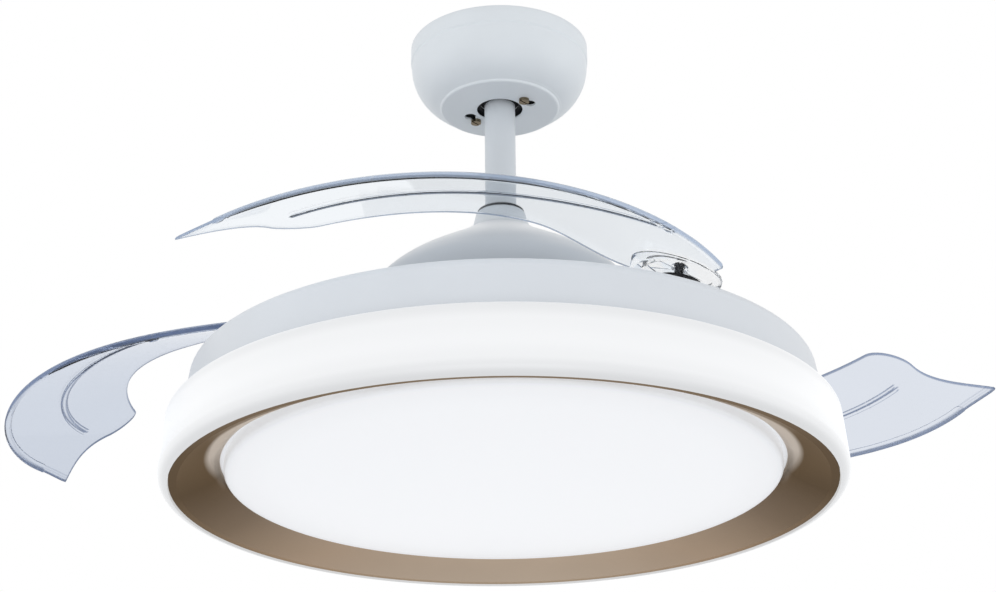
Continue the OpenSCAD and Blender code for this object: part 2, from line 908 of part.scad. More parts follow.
// The space between two arches, measured up from the middle of the sheet.
module arch_layer(low, high) {
    reach = 700;
    rotate([-blade_pitch, 0, 0])
        rotate([0, 0, arch_skew])
            translate([arch_r * sin(arch_slope), 0, -arch_r * cos(arch_slope)])
                rotate([90, 0, 0])
                    difference() {
                        cylinder(r = arch_r + high, h = reach, center = true, $fn = 360);
                        cylinder(r = arch_r + low, h = reach + 2, center = true, $fn = 360);
                    }
}

module plan_prism() {
    translate([0, 0, -90])
        linear_extrude(height = 160)
            children();
}

module blade_sheet() {
    intersection() {
        plan_prism()
            union() {
                blade_outline();
                hub_plan(hub_r);
            }
        arch_layer(-sheet_t / 2, sheet_t / 2);
    }
    intersection() {
        plan_prism()
            rim_outline();
        arch_layer(-rim_h / 2, rim_h / 2);
    }
    intersection() {
        plan_prism()
            rib_outline();
        arch_layer(-sheet_t / 2 - rib_h, 0);
    }
}

module hub_plan(r) {
    circle(r = r, $fn = round_fn);
    translate([hub_reach, 0])
        circle(r = r, $fn = round_fn);
    translate([0, -r])
        square([hub_reach, 2 * r]);
}

hub_boss_r = 6;

// The clear cup under the blade's root. The sheet itself closes it on top.
module hub_cup() {
    tall = 60;
    intersection() {
        arch_layer(-tall, 0);
        translate([0, 0, hub_low])
            difference() {
                linear_extrude(height = tall)
                    hub_plan(hub_r);
                difference() {
                    translate([0, 0, -1])
                        linear_extrude(height = tall + 2)
                            hub_plan(hub_r - hub_wall);
                    tube(hub_ring_r, hub_ring_r - hub_wall, 2, tall);
                    for (i = [0:hub_ribs - 1])
                        rotate([0, 0, 30 + i * 360 / hub_ribs])
                            translate([0, -0.9, 5])
                                cube([hub_ring_r - 1, 1.8, tall]);
                }
            }
    }
    disc(hub_boss_r, hub_low + 1, hub_top, 64);
}

// One clear blade in its own frame: the post's axis is Z and the tip lies along +X.
module blade_form() {
    difference() {
        union() {
            blade_sheet();
            hub_cup();
        }
        disc(post_r + snug, -40, 40, 64);
    }
}

module turned(i) {
    at_pivot(i)
        rotate([0, 0, folded_angle + rest_opening[i]])
            children();
}

module blade(i) {
    color(clear_blue)
        turned(i)
            blade_form();
}

// The post is held in the blade's boss and turns in the carrier's bush.
module post(i) {
    head_t = 1.4;
    color(black)
        turned(i) {
            disc(post_r, post_low, hub_top + seat_gap, 64);
            translate([0, 0, hub_top])
                difference() {
                    cylinder(r = post_r + 0.7, h = head_t, $fn = 64);
                    translate([-0.5, -post_r - 1, head_t - 0.6])
                        cube([1, 2 * post_r + 2, 1]);
                }
        }
}

// The arm below the carrier that meets the two stop pins, with its locking ring.
module stop_arm(i) {
    middle = 180 - folded_angle - open_travel / 2;
    color(zinc)
        turned(i)
            difference() {
                union() {
                    rotate([0, 0, middle])
                        translate([0, -stop_arm_w / 2, stop_arm_top - stop_arm_t])
                            cube([stop_arm_r, stop_arm_w, stop_arm_t]);
                    disc(post_r + 2.4, stop_arm_top - stop_arm_t - 0.9, stop_arm_top, 64);
                }
                disc(post_r + snug, post_low - 2, 0, 64);
            }
}

module blade_1() {
    blade(0);
}

module blade_2() {
    blade(1);
}

module blade_3() {
    blade(2);
}

module post_1() {
    post(0);
}

module post_2() {
    post(1);
}

module post_3() {
    post(2);
}

module stop_arm_1() {
    stop_arm(0);
}

module stop_arm_2() {
    stop_arm(1);
}

module stop_arm_3() {
    stop_arm(2);
}

// ---------------------------------------------------------------- lamp

bracket_plate_t = 3;
bracket_plate_r = 60;
chassis_z = ring_top_z - 2;              // upper face of the chassis plate
drum_top_r = drum_foot_r - drum_taper;
ring_top_r = drum_foot_r + ring_ledge_w;
ring_r = ring_top_r + ring_bulge;
bezel_r = ring_r - ring_lip_w;
bezel_in_r = bezel_r - bezel_w;
bezel_t = 1.6;
bezel_foot_z = ring_foot_z + 1.4;
bezel_top_z = bezel_foot_z + bezel_rise;  // inner edge of the bezel's face
bezel_ledge_z = bezel_top_z + bezel_t;    // the diffuser's flange rests here
chassis_r = ring_top_r - 7;
chassis_wall_r = drum_foot_r - 23;
chassis_foot_w = 8;
chassis_foot_z = bezel_ledge_z + 7.5;
chassis_screw_r = drum_foot_r - 13.5;
chassis_hole_r = 20;
hook_r = chassis_wall_r + chassis_foot_w + 0.4;
diffuser_t = 2;
diffuser_wall_r = bezel_in_r - 3;         // wall of the diffuser inside the bezel's edge
diffuser_flange_r = bezel_in_r + 4.5;
diffuser_edge_r = 3;                      // rounding between its wall and its face

module shaft_collar() {
    color(steel)
        difference() {
            disc(14, drum_top_z, drum_top_z + 8);
            disc(shaft_r + snug, drum_top_z - 1, drum_top_z + 9);
        }
}

module lamp_bracket() {
    color(zinc)
        difference() {
            disc(bracket_plate_r, drum_top_z - lamp_sheet - bracket_plate_t, drum_top_z - lamp_sheet);
            disc(shaft_r + snug, drum_top_z - 10, drum_top_z);
            ring_of(4, pan_screw_r, 45)
                disc(2 + snug, drum_top_z - 10, drum_top_z, screw_fn);
        }
}

nut_h = 8;

module shaft_nut() {
    nut_top = drum_top_z - lamp_sheet - bracket_plate_t;
    color(zinc)
        translate([0, 0, nut_top - nut_h])
            difference() {
                cylinder(r = 15, h = nut_h, $fn = 6);
                translate([0, 0, -1])
                    cylinder(r = shaft_r + snug, h = nut_h + 2, $fn = 64);
            }
}

pan_screw_r = 0.75 * bracket_plate_r;

module pan_screws() {
    color(zinc)
        ring_of(4, pan_screw_r, 45)
            translate([0, 0, drum_top_z])
                screw_down(2, lamp_sheet + bracket_plate_t, 4, 2.4);
}

drum_edge_r = 8;
pan_flange_w = 22;

module lamp_pan() {
    edge_centre = [drum_top_r - drum_edge_r, drum_top_z - drum_edge_r];
    color(drum_paint)
        difference() {
            rotate_extrude($fn = fine_fn)
                polygon(concat(
                    [[shaft_r + snug, drum_top_z]],
                    arc_points(edge_centre, drum_edge_r, 90, 0, 8),
                    [[drum_foot_r, chassis_z]],
                    [[drum_foot_r - pan_flange_w, chassis_z]],
                    [[drum_foot_r - pan_flange_w, chassis_z + lamp_sheet]],
                    [[drum_foot_r - lamp_sheet - 0.2, chassis_z + lamp_sheet]],
                    arc_points(edge_centre, drum_edge_r - lamp_sheet, 0, 90, 8),
                    [[shaft_r + snug, drum_top_z - lamp_sheet]]
                ));
            ring_of(4, pan_screw_r, 45)
                disc(2 + snug, drum_top_z - 10, drum_top_z + 1, screw_fn);
            ring_of(6, chassis_screw_r)
                disc(2 + snug, chassis_z - 1, chassis_z + lamp_sheet + 1, screw_fn);
        }
}

module lamp_chassis() {
    color(zinc)
        difference() {
            rotate_extrude($fn = fine_fn)
                polygon([
                    [chassis_hole_r, chassis_z],
                    [chassis_r, chassis_z],
                    [chassis_r, chassis_z - lamp_sheet],
                    [chassis_wall_r, chassis_z - lamp_sheet],
                    [chassis_wall_r, chassis_foot_z + lamp_sheet],
                    [chassis_wall_r + chassis_foot_w, chassis_foot_z + lamp_sheet],
                    [chassis_wall_r + chassis_foot_w, chassis_foot_z],
                    [chassis_wall_r - lamp_sheet, chassis_foot_z],
                    [chassis_wall_r - lamp_sheet, chassis_z - lamp_sheet],
                    [chassis_hole_r, chassis_z - lamp_sheet]
                ]);
            ring_of(6, chassis_screw_r)
                disc(2 + snug, chassis_z - 5, chassis_z + 1, screw_fn);
        }
}

module chassis_screws() {
    color(zinc)
        ring_of(6, chassis_screw_r)
            translate([0, 0, chassis_z - lamp_sheet])
                screw_up(2, 2 * lamp_sheet + 2, 3.8, 2.2);
}

driver_size = [120, 56, 24];

module led_driver() {
    foot = 10;
    color(lamp_white)
        translate([60, -driver_size[1] / 2, chassis_z]) {
            cube(driver_size);
            translate([-foot, 18, 0])
                cube([driver_size[0] + 2 * foot, 20, 2]);
            translate([-6, 12, 0])
                cube([6 + eps, 32, 12]);
        }
}

led_plate_r = chassis_wall_r - 17.5;
led_plate_t = 1.6;
led_plate_z = chassis_z - lamp_sheet;

module led_plate() {
    color(zinc)
        tube(led_plate_r, chassis_hole_r, led_plate_z - led_plate_t, led_plate_z, fine_fn);
}

module led_lenses() {
    color(lamp_white)
        for (row = [[8, 0.28], [14, 0.535], [20, 0.79]])
            ring_of(row[0], row[1] * led_plate_r)
                translate([0, 0, led_plate_z - led_plate_t - 4])
                    cylinder(r1 = 5, r2 = 7, h = 4, $fn = 24);
}

strip_h = 10;
strip_low_z = (chassis_z + chassis_foot_z - strip_h) / 2;

module ring_led_strip() {
    color(lamp_white)
        tube(chassis_wall_r + 1.2, chassis_wall_r + snug, strip_low_z, strip_low_z + strip_h, fine_fn);
}

function ring_wall_profile(inset) = concat(
    arc_points([ring_top_r - 5, ring_top_z - 5], 5 - inset, 90, 5, 6),
    arc_points([ring_r - ring_roll_r, ring_foot_z + ring_roll_r], ring_roll_r - inset, 0, -75, 8)
);

module ring_diffuser() {
    lip_r = bezel_r + 0.6;
    color(lamp_white)
        rotate_extrude($fn = fine_fn)
            difference() {
                polygon(concat(
                    [[drum_foot_r + 0.4, ring_top_z]],
                    ring_wall_profile(0),
                    [[lip_r, ring_foot_z], [lip_r, ring_top_z - 5], [drum_foot_r + 0.4, ring_top_z - 5]]
                ));
                polygon(concat(
                    [[drum_foot_r - 5, ring_top_z - 2]],
                    [[ring_top_r - 5, ring_top_z - 2]],
                    ring_wall_profile(ring_wall),
                    [[lip_r + 1.2, ring_foot_z + ring_wall]],
                    [[lip_r + 1.2, ring_foot_z + ring_roll_r]],
                    [[lip_r - 5, ring_foot_z + ring_roll_r]],
                    [[lip_r - 5, ring_top_z - 8]],
                    [[drum_foot_r - 5, ring_top_z - 8]]
                ));
            }
}

// The hollow face of the bezel, from its flat lip up to its inner edge.
function bezel_face(lift) =
    let (lip = bezel_r - bezel_lip_w, w = bezel_w - bezel_lip_w)
    bezier_points([
        [lip, bezel_foot_z + lift],
        [lip - 0.35 * w, bezel_foot_z + 0.27 * bezel_rise + lift],
        [bezel_in_r + 0.2 * w + 0.5 * lift, bezel_foot_z + 0.55 * bezel_rise + lift],
        [bezel_in_r + 0.9 * lift, bezel_top_z + 0.4 * lift]
    ], 12);

module bezel() {
    rim_h = 9;
    cup_r = diffuser_flange_r + 0.4;
    cup_top_z = bezel_ledge_z + diffuser_t + 0.8;
    web_z = bezel_ledge_z - bezel_t;
    color(champagne)
        rotate_extrude($fn = fine_fn)
            union() {
                polygon(concat(
                    [[bezel_r - 0.6, bezel_foot_z], [bezel_r, bezel_foot_z + 0.6]],
                    [[bezel_r, bezel_foot_z + rim_h], [bezel_r - bezel_t, bezel_foot_z + rim_h]],
                    [[bezel_r - bezel_t, bezel_foot_z + bezel_t]],
                    bezel_face(bezel_t),
                    [for (i = [0:12]) bezel_face(0)[12 - i]]
                ));
                // ledge and cup for the diffuser's flange
                polygon([
                    [bezel_in_r, bezel_top_z - 0.4],
                    [bezel_in_r, bezel_ledge_z],
                    [cup_r, bezel_ledge_z],
                    [cup_r, cup_top_z],
                    [cup_r + bezel_t, cup_top_z],
                    [cup_r + bezel_t, web_z],
                    [bezel_in_r + 1.8, web_z],
                    [bezel_in_r + 1.6, bezel_top_z - 0.4]
                ]);
                // wall that the four clips hold to the chassis
                polygon([
                    [cup_r + bezel_t - eps, web_z],
                    [cup_r + bezel_t - eps, web_z + bezel_t],
                    [hook_r, web_z + bezel_t],
                    [hook_r, chassis_foot_z + 4],
                    [hook_r + bezel_t, chassis_foot_z + 4],
                    [hook_r + bezel_t, web_z]
                ]);
            }
}

module bezel_clips() {
    color(zinc)
        ring_of(4, hook_r, 45)
            translate([-5.4, -5, chassis_foot_z + lamp_sheet])
                difference() {
                    cube([5.4 + 3, 10, 4]);
                    translate([5.2, -1, -1])
                        cube([2.2, 12, 4]);
                }
}

// The diffuser from the middle of its face round its edge and up its wall.
function diffuser_skin(inset) =
    let (edge_z = bezel_top_z - diffuser_drop + diffuser_edge_r,
         face_z = edge_z - diffuser_edge_r + inset,
         flat_r = diffuser_wall_r - diffuser_edge_r)
    concat(
        [for (i = [0:10])
            let (r = flat_r * i / 10)
            [r, face_z - diffuser_crown * (1 - pow(r / flat_r, 2))]],
        [for (a = [-72:18:0])
            [flat_r, edge_z] + (diffuser_edge_r - inset) * [cos(a), sin(a)]]
    );

module main_diffuser() {
    inner = diffuser_skin(diffuser_t);
    color(lamp_white)
        rotate_extrude($fn = fine_fn)
            polygon(concat(
                diffuser_skin(0),
                [[diffuser_wall_r, bezel_ledge_z], [diffuser_flange_r, bezel_ledge_z]],
                [[diffuser_flange_r, bezel_ledge_z + diffuser_t]],
                [[diffuser_wall_r - diffuser_t, bezel_ledge_z + diffuser_t]],
                [for (i = [len(inner) - 1:-1:0]) inner[i]]
            ));
}

// ---------------------------------------------------------------- the nodes

ceiling_bracket();
receiver_box();
canopy();
canopy_screws();
hanger_ball();
cross_pin();
downrod();
rod_collar();
coupling_cover();
yoke();
yoke_bolt();
shaft_set_screw();
motor_cover();
cover_screws();
motor_shaft();
stator_core();
stator_coils();
rotor_top();
rotor_bottom();
magnet_ring();
upper_bearing();
lower_bearing();
rotor_screws();
blade_carrier();
seat_screws();
pivot_seats();
pivot_bushes();
stop_pins();
return_springs();
blade_1();
blade_2();
blade_3();
post_1();
post_2();
post_3();
stop_arm_1();
stop_arm_2();
stop_arm_3();
shaft_collar();
lamp_bracket();
shaft_nut();
pan_screws();
lamp_pan();
lamp_chassis();
chassis_screws();
led_driver();
led_plate();
led_lenses();
ring_led_strip();
ring_diffuser();
bezel();
bezel_clips();
main_diffuser();
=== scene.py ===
# %% [markdown]
# # A ceiling fan with three folding clear blades
# This file dresses a fan whose working parts already exist as solids. The fan hangs from a
# ceiling plate by a short rod. A motor under a domed cover turns a black carrier, and three
# clear blades swing on posts near its rim. Under them hangs a round lamp: a painted drum,
# a luminous ring, a champagne bezel and a large opal diffuser.
#
# The scene is in metres, with the ceiling at height zero, so the fan itself lies below zero.
# Profiles and blades are drawn in millimetres and scaled when they are put in place.

# %% Tools and an empty stage
import json
import math

import bmesh
import bpy
import numpy as np
from mathutils import Matrix, Vector, geometry

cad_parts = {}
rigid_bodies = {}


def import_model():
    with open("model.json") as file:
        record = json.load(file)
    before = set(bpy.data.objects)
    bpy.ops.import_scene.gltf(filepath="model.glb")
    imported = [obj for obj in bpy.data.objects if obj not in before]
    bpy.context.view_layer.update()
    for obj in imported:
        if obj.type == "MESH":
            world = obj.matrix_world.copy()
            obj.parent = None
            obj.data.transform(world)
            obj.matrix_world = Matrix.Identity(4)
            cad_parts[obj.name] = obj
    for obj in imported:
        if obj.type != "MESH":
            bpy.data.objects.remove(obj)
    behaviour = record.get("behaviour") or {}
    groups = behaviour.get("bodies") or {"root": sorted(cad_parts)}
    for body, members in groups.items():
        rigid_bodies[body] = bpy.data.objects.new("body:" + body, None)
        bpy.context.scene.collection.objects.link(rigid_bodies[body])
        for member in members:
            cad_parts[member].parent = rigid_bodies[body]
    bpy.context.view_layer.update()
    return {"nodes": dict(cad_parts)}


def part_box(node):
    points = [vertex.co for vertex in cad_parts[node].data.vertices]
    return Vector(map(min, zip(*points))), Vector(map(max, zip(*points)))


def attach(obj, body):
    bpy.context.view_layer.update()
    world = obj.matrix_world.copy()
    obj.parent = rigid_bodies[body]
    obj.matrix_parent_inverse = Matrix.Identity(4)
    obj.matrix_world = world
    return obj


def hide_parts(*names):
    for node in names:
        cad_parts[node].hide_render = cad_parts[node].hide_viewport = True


for thing in list(bpy.data.objects):
    bpy.data.objects.remove(thing)

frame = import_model()
nodes = frame["nodes"]


# %% [markdown]
# ## Colours
# A colour is easiest to judge as it looks on a screen, from 0 to 255. Light adds up in linear
# steps, so each screen colour is turned into its linear value before a material uses it.

# %% Screen colour to linear colour
def tone(r, g, b):
    values = []
    for c in (r, g, b):
        c = c / 255
        values.append(c / 12.92 if c <= 0.04045 else ((c + 0.055) / 1.055) ** 2.4)
    return (*values, 1.0)


print("middle grey in linear steps:", round(tone(128, 128, 128)[0], 3))


# %% [markdown]
# ## Nodes in few words
# Materials and growing rules are both trees of nodes. Written out in full, a tree hides its idea
# behind its wiring, so these helpers make one node with its inputs in one call. An input is given
# as a plain value or as the output of another node, which is then linked to it.

# %% Nodes, sums, ranges and mixtures
def link(tree, a, b):
    tree.links.new(a, b)


def node(tree, kind, inputs=None, **settings):
    """A new node. Its settings are made first, because they decide which inputs it has."""
    made = tree.nodes.new(kind)
    for key, value in settings.items():
        setattr(made, key, value)
    for key, value in (inputs or {}).items():
        if isinstance(value, bpy.types.NodeSocket):
            link(tree, value, made.inputs[key])
        else:
            made.inputs[key].default_value = value
    return made


def maths(tree, operation, *values):
    made = node(tree, "ShaderNodeMath", dict(enumerate(values)), operation=operation)
    return made.outputs["Value"]


def vector(tree, x=0.0, y=0.0, z=0.0):
    return node(tree, "ShaderNodeCombineXYZ", {"X": x, "Y": y, "Z": z}).outputs["Vector"]


def ranged(tree, value, from_low, from_high, to_low, to_high):
    spread = node(tree, "ShaderNodeMapRange",
                  {"Value": value, "From Min": from_low, "From Max": from_high,
                   "To Min": to_low, "To Max": to_high})
    return spread.outputs["Result"]


def blended(tree, a, b, factor, how="MIX"):
    """A colour between a and b; each of them is a colour or a socket."""
    mix = node(tree, "ShaderNodeMix", {"A": a, "B": b, "Factor": factor}, data_type="RGBA",
               blend_type=how)
    return mix.outputs["Result"]


def ramped(tree, value, stops, interpolation="LINEAR"):
    """A colour that runs through stops, a list of (place from 0 to 1, colour)."""
    ramp = node(tree, "ShaderNodeValToRGB", {"Fac": value})
    ramp.color_ramp.interpolation = interpolation
    points = ramp.color_ramp.elements
    for point, (where, colour) in zip((points[0], points[1]), (stops[0], stops[-1])):
        point.position, point.color = where, colour
    for where, colour in stops[1:-1]:
        points.new(where).color = colour
    return ramp.outputs["Color"]


# %% [markdown]
# ## A small kit for materials
# No real surface has one flat colour. Paint has an orange peel, rolled steel has long scratches,
# a moulding has a faint cloudiness. `surface` makes a material with a slow colour drift, a finer
# drift in roughness and a very small bump, all measured in metres on the object itself, so that
# the grain keeps its size on a large and on a small piece.

# %% The general surface
def surface(name, colour, rough=0.4, metal=0.0, drift=0.03, drift_size=0.05,
            rough_drift=0.08, grain=900.0, bump=0.00002, stretch=(1, 1, 1), **extra):
    mat = bpy.data.materials.new(name)
    mat.use_nodes = True
    tree = mat.node_tree
    shader = tree.nodes["Principled BSDF"]
    place = node(tree, "ShaderNodeTexCoord").outputs["Object"]
    grid = node(tree, "ShaderNodeMapping", {"Vector": place, "Scale": stretch}).outputs["Vector"]

    slow = node(tree, "ShaderNodeTexNoise",
                {"Vector": grid, "Scale": 1 / drift_size, "Detail": 3}).outputs["Fac"]
    darker = (*[c * (1 - drift) for c in colour[:3]], 1)
    lighter = (*[min(1, c * (1 + drift)) for c in colour[:3]], 1)
    link(tree, ramped(tree, slow, [(0.3, darker), (0.7, lighter)]), shader.inputs["Base Color"])
    smoothest, roughest = max(0.02, rough - rough_drift), min(1, rough + rough_drift)
    link(tree, ranged(tree, slow, 0, 1, smoothest, roughest), shader.inputs["Roughness"])

    fine = node(tree, "ShaderNodeTexNoise",
                {"Vector": grid, "Scale": grain, "Detail": 2}).outputs["Fac"]
    relief = node(tree, "ShaderNodeBump", {"Height": fine, "Distance": bump, "Strength": 1.0})
    link(tree, relief.outputs["Normal"], shader.inputs["Normal"])
    shader.inputs["Metallic"].default_value = metal
    for socket, value in extra.items():
        shader.inputs[socket.replace("_", " ")].default_value = value
    return mat


# %% [markdown]
# ## Paint and metal
# The canopy, the rod and the motor cover are pressed or spun steel with a pale satin powder
# coat, which levels out into a fine orange peel. The drum's coat lies between those of the canopy
# and the rod in tone. On the cover and the drum the coat also catches a little extra light where
# it is seen at a flat angle, which is what sheen stands for. Hidden steel parts are zinc plated,
# with the cloudy bluish look that the bath leaves, and the carrier and the pivot posts are
# blackened.

# %% Powder coats
coat = {"drift": 0.012, "grain": 700, "bump": 0.000012}
dusty = {"Sheen_Roughness": 0.35}
paints = {
    "canopy_white": surface("canopy_white", tone(224, 230, 235), rough=0.42, **coat),
    "rod_grey": surface("rod_grey", tone(209, 215, 221), rough=0.4, **coat),
    "drum_white": surface("drum_white", tone(218, 223, 229), rough=0.45, Sheen_Weight=0.4,
                          **{**coat, "drift": 0.01}, **dusty),
}
cover_paint = surface("cover_white", tone(193, 201, 210), rough=0.42, Sheen_Weight=0.8, **coat,
                      **dusty)
print(len(paints) + 1, "powder coats")

# %% Metals, plastics and rubber
finishes = [
    ("zinc_steel", (186, 190, 196), dict(rough=0.32, metal=1.0, drift=0.1, drift_size=0.006,
                                         rough_drift=0.12, grain=2500, bump=0.00001)),
    ("steel", (150, 152, 156), dict(rough=0.3, metal=1.0, drift=0.08, drift_size=0.012,
                                    rough_drift=0.1, grain=1800, bump=0.00001,
                                    stretch=(1, 1, 6))),
    ("black_steel", (30, 31, 34), dict(rough=0.38, drift=0.15, drift_size=0.01, grain=1600)),
    ("black_plastic", (34, 35, 37), dict(rough=0.5, drift=0.1, drift_size=0.01, grain=2200,
                                         bump=0.00003)),
    ("rubber", (26, 26, 28), dict(rough=0.75, drift=0.12, drift_size=0.004, grain=2600,
                                  bump=0.00003)),
    ("copper_wire", (196, 112, 62), dict(rough=0.28, metal=1.0, drift=0.12, drift_size=0.004,
                                         grain=3000, bump=0.00001)),
    ("bush_plastic", (214, 208, 190), dict(rough=0.5, drift=0.04, drift_size=0.004,
                                           grain=2500)),
    ("magnet", (96, 98, 102), dict(rough=0.34, metal=1.0, drift=0.1, drift_size=0.006,
                                   grain=2000, bump=0.00001)),
    ("core_steel", (120, 124, 132), dict(rough=0.45, metal=1.0, drift=0.1, drift_size=0.008,
                                         grain=2000, bump=0.00003, stretch=(1, 1, 40))),
    ("aluminium_plate", (226, 228, 230), dict(rough=0.35, drift=0.04, drift_size=0.03,
                                              grain=1500, bump=0.00001)),
    ("driver_case", (232, 232, 228), dict(rough=0.5, drift_size=0.02, grain=1800,
                                          bump=0.00003)),
    ("screw_brass", (132, 120, 100), dict(rough=0.22, metal=1.0, drift=0.25, drift_size=0.0015,
                                          rough_drift=0.12, grain=2600)),
    # The dark plate is painted shade: the bracket behind the keyholes is made dark so that the slots
    # look black, as shade makes them.
    ("dark_plate", (48, 49, 52), dict(rough=0.45, metal=0.6, drift=0.12, drift_size=0.01,
                                      grain=1500)),
]
for name, colour, look in finishes:
    paints[name] = surface(name, tone(*colour), **look)
for name in ("black_steel", "black_plastic", "rubber"):
    shader = paints[name].node_tree.nodes["Principled BSDF"]
    shader.inputs["Specular IOR Level"].default_value = 0.2
print(len(paints) + 1, "opaque materials")


# %% [markdown]
# ## Champagne bezel
# The bezel is a rolled aluminium ring with a satin champagne finish. Its brushing runs round
# the ring, so the texture follows the distance from the fan's axis. Round brushing throws the
# light back in fans, so the far side of the ring looks pale and both flanks look deep brown.
# This light and shade is painted into the colour: painted shade that changes from the near side
# to the far side of the ring. Close to the luminous disc the metal reflects its light, and that
# reflection is painted as a pale band on the inner rim of the near half.

# %% Places measured from the fan's axis
def from_axis(tree):
    """The parts X, Y and Z of a place on the object, and its distance from the fan's axis."""
    place = node(tree, "ShaderNodeTexCoord").outputs["Object"]
    parts = node(tree, "ShaderNodeSeparateXYZ", {"Vector": place}).outputs
    flat = vector(tree, parts["X"], parts["Y"])
    radius = node(tree, "ShaderNodeVectorMath", {0: flat}, operation="LENGTH").outputs["Value"]
    return parts, radius


# %% The satin bezel
def satin_ring(name, colour):
    mat = surface(name, colour, rough=0.34, metal=0.93, drift_size=0.08, rough_drift=0.05,
                  bump=0.000006, Anisotropic=0.3, Specular_Tint=tone(204, 188, 170))
    tree = mat.node_tree
    shader = tree.nodes["Principled BSDF"]
    place, radius = from_axis(tree)
    brushing = node(tree, "ShaderNodeTexNoise", {"W": radius, "Scale": 2600, "Detail": 3},
                    noise_dimensions="1D")
    relief = shader.inputs["Normal"].links[0].from_node
    link(tree, brushing.outputs["Fac"], relief.inputs["Height"])

    # Painted shade: pale on the far side and deep brown on both flanks, set by the place from near to
    # far.
    ring_reach = 0.24
    levels = [(0.3, 0.26), (0.5, 0.21), (0.68, 0.47), (0.85, 0.87)]
    browns = [(where, (x, x * 0.93, x * 0.87, 1)) for where, x in levels]
    shade = ramped(tree, ranged(tree, place["Y"], -ring_reach, ring_reach, 0, 1),
                   [(0.0, (0.55, 0.53, 0.51, 1)), *browns, (1.0, (1, 1, 1, 1))])
    drifted = shader.inputs["Base Color"].links[0].from_socket
    painted_shade_colour = blended(tree, drifted, shade, 1.0, "MULTIPLY")

    # Painted reflection of the luminous disc: a pale band on the inner rim of the near half, reaching
    # furthest at the flanks.
    pale_r, brown_r, strongest, widening = 0.2065, 0.2105, 0.92, -0.15
    near = ranged(tree, place["Y"], -0.2, 0, 0.2, 0)
    sideways = ranged(tree, maths(tree, "ABSOLUTE", place["X"]), 0.08, 0.19, 0, 1)
    flank = maths(tree, "MULTIPLY", near, sideways)
    widened = maths(tree, "MULTIPLY_ADD", flank, widening, radius)
    pale = maths(tree, "MULTIPLY", ranged(tree, widened, brown_r, pale_r, 0, strongest),
                 ranged(tree, place["Y"], -0.06, 0.03, 1, 0))
    lit = blended(tree, painted_shade_colour, tone(244, 240, 235), pale)
    link(tree, lit, shader.inputs["Base Color"])
    return mat


paints["champagne_metal"] = satin_ring("champagne_metal", tone(208, 190, 170))
print("bezel finish with", len(paints["champagne_metal"].node_tree.nodes), "nodes")


# %% [markdown]
# ## Lit plastic
# The ring and the diffuser are opal plastic with light-emitting diodes behind them. Opal plastic
# scatters the light so well that the piece itself seems to glow. The glow isn't even: the ring's
# is strongest at the middle of its height, and the disc's falls off towards its rim. The material
# gives each piece its own glow along its height or its radius.

# %% The glowing ring and the diffusers
def glowing(name, base, levels, low, high, along="Z"):
    """levels is a list of (share of the way from low to high, strength of the glow)."""
    mat = surface(name, base, rough=0.35, drift=0.004, drift_size=0.12, rough_drift=0.04,
                  grain=1200, bump=0.000006)
    tree = mat.node_tree
    shader = tree.nodes["Principled BSDF"]
    place, radius = from_axis(tree)
    share = ranged(tree, radius if along == "radius" else place["Z"], low, high, 0, 1)
    stops = [(where, (x, x, x, 1)) for where, x in levels]
    link(tree, ramped(tree, share, stops, "EASE"), shader.inputs["Emission Color"])
    shader.inputs["Emission Strength"].default_value = 1.0
    return mat


ring_foot, ring_top, disc_r = -0.3715, -0.3215, 0.203
inner_foot, inner_top = -0.36, -0.32
ring_glow = glowing("ring_opal", tone(120, 123, 127),
                    [(0.0, 0.50), (0.10, 0.59), (0.22, 0.67), (0.45, 0.70), (0.75, 0.68),
                     (0.92, 0.61), (1.0, 0.57)], ring_foot, ring_top)
disc_glow = glowing("disc_opal", tone(196, 199, 204),
                    [(0.0, 0.42), (0.8, 0.415), (0.95, 0.395), (1.0, 0.34)], 0.0, disc_r,
                    along="radius")
inner_glow = glowing("inner_opal", tone(220, 222, 224), [(0.0, 0.5), (1.0, 0.5)],
                     inner_foot, inner_top)
paints["opal_plastic"] = inner_glow
print("three glowing materials")


# %% [markdown]
# ## Clear blades
# The blades are injection moulded in clear polycarbonate with a faint blue-grey tint. Light that
# goes straight through the sheet is only a little coloured. Light that travels along the sheet
# and comes out at an edge or at a rib has passed much more plastic, so those places look slate
# blue. Here that slate blue is painted into the colour at the edges, the rim and the rib, partly
# for this longer path and partly as painted shade for the dark lines that a rounded edge or a rib
# draws by bending the light. The nearest blade is seen at so flat an angle that the white room
# mirrors in it and hides the tint. That reflection is painted in too: the three blades are lit and
# shaded copies of one plastic, each with its own depth of tint, palest on the nearest blade. The
# hub is moulded thick and slightly frosted. Two values stored on the mesh, `edge` and `frost`,
# tell the material where these places are.

# %% The clear plastic
def clear_plastic(name, colour, edge_colour):
    mat = surface(name, colour, drift=0.01, drift_size=0.1, grain=60, bump=0.000004, IOR=1.08)
    tree = mat.node_tree
    shader = tree.nodes["Principled BSDF"]
    edge, frost = (node(tree, "ShaderNodeAttribute", attribute_name=value).outputs["Fac"]
                   for value in ("edge", "frost"))
    body = shader.inputs["Base Color"].links[0].from_socket
    # The slate colour at edges, rim and rib is partly a longer path through the plastic and partly
    # painted shade for the lines that bending light draws there.
    edged = blended(tree, body, edge_colour, edge)
    link(tree, blended(tree, edged, tone(253, 254, 255), frost), shader.inputs["Base Color"])
    dulled = maths(tree, "MULTIPLY_ADD", edge, 0.6, ranged(tree, frost, 0, 1, 0, 0.04))
    link(tree, ranged(tree, dulled, 0, 1, 1, 0), shader.inputs["Transmission Weight"])
    link(tree, ranged(tree, frost, 0, 1, 0.03, 0.12), shader.inputs["Roughness"])
    return mat


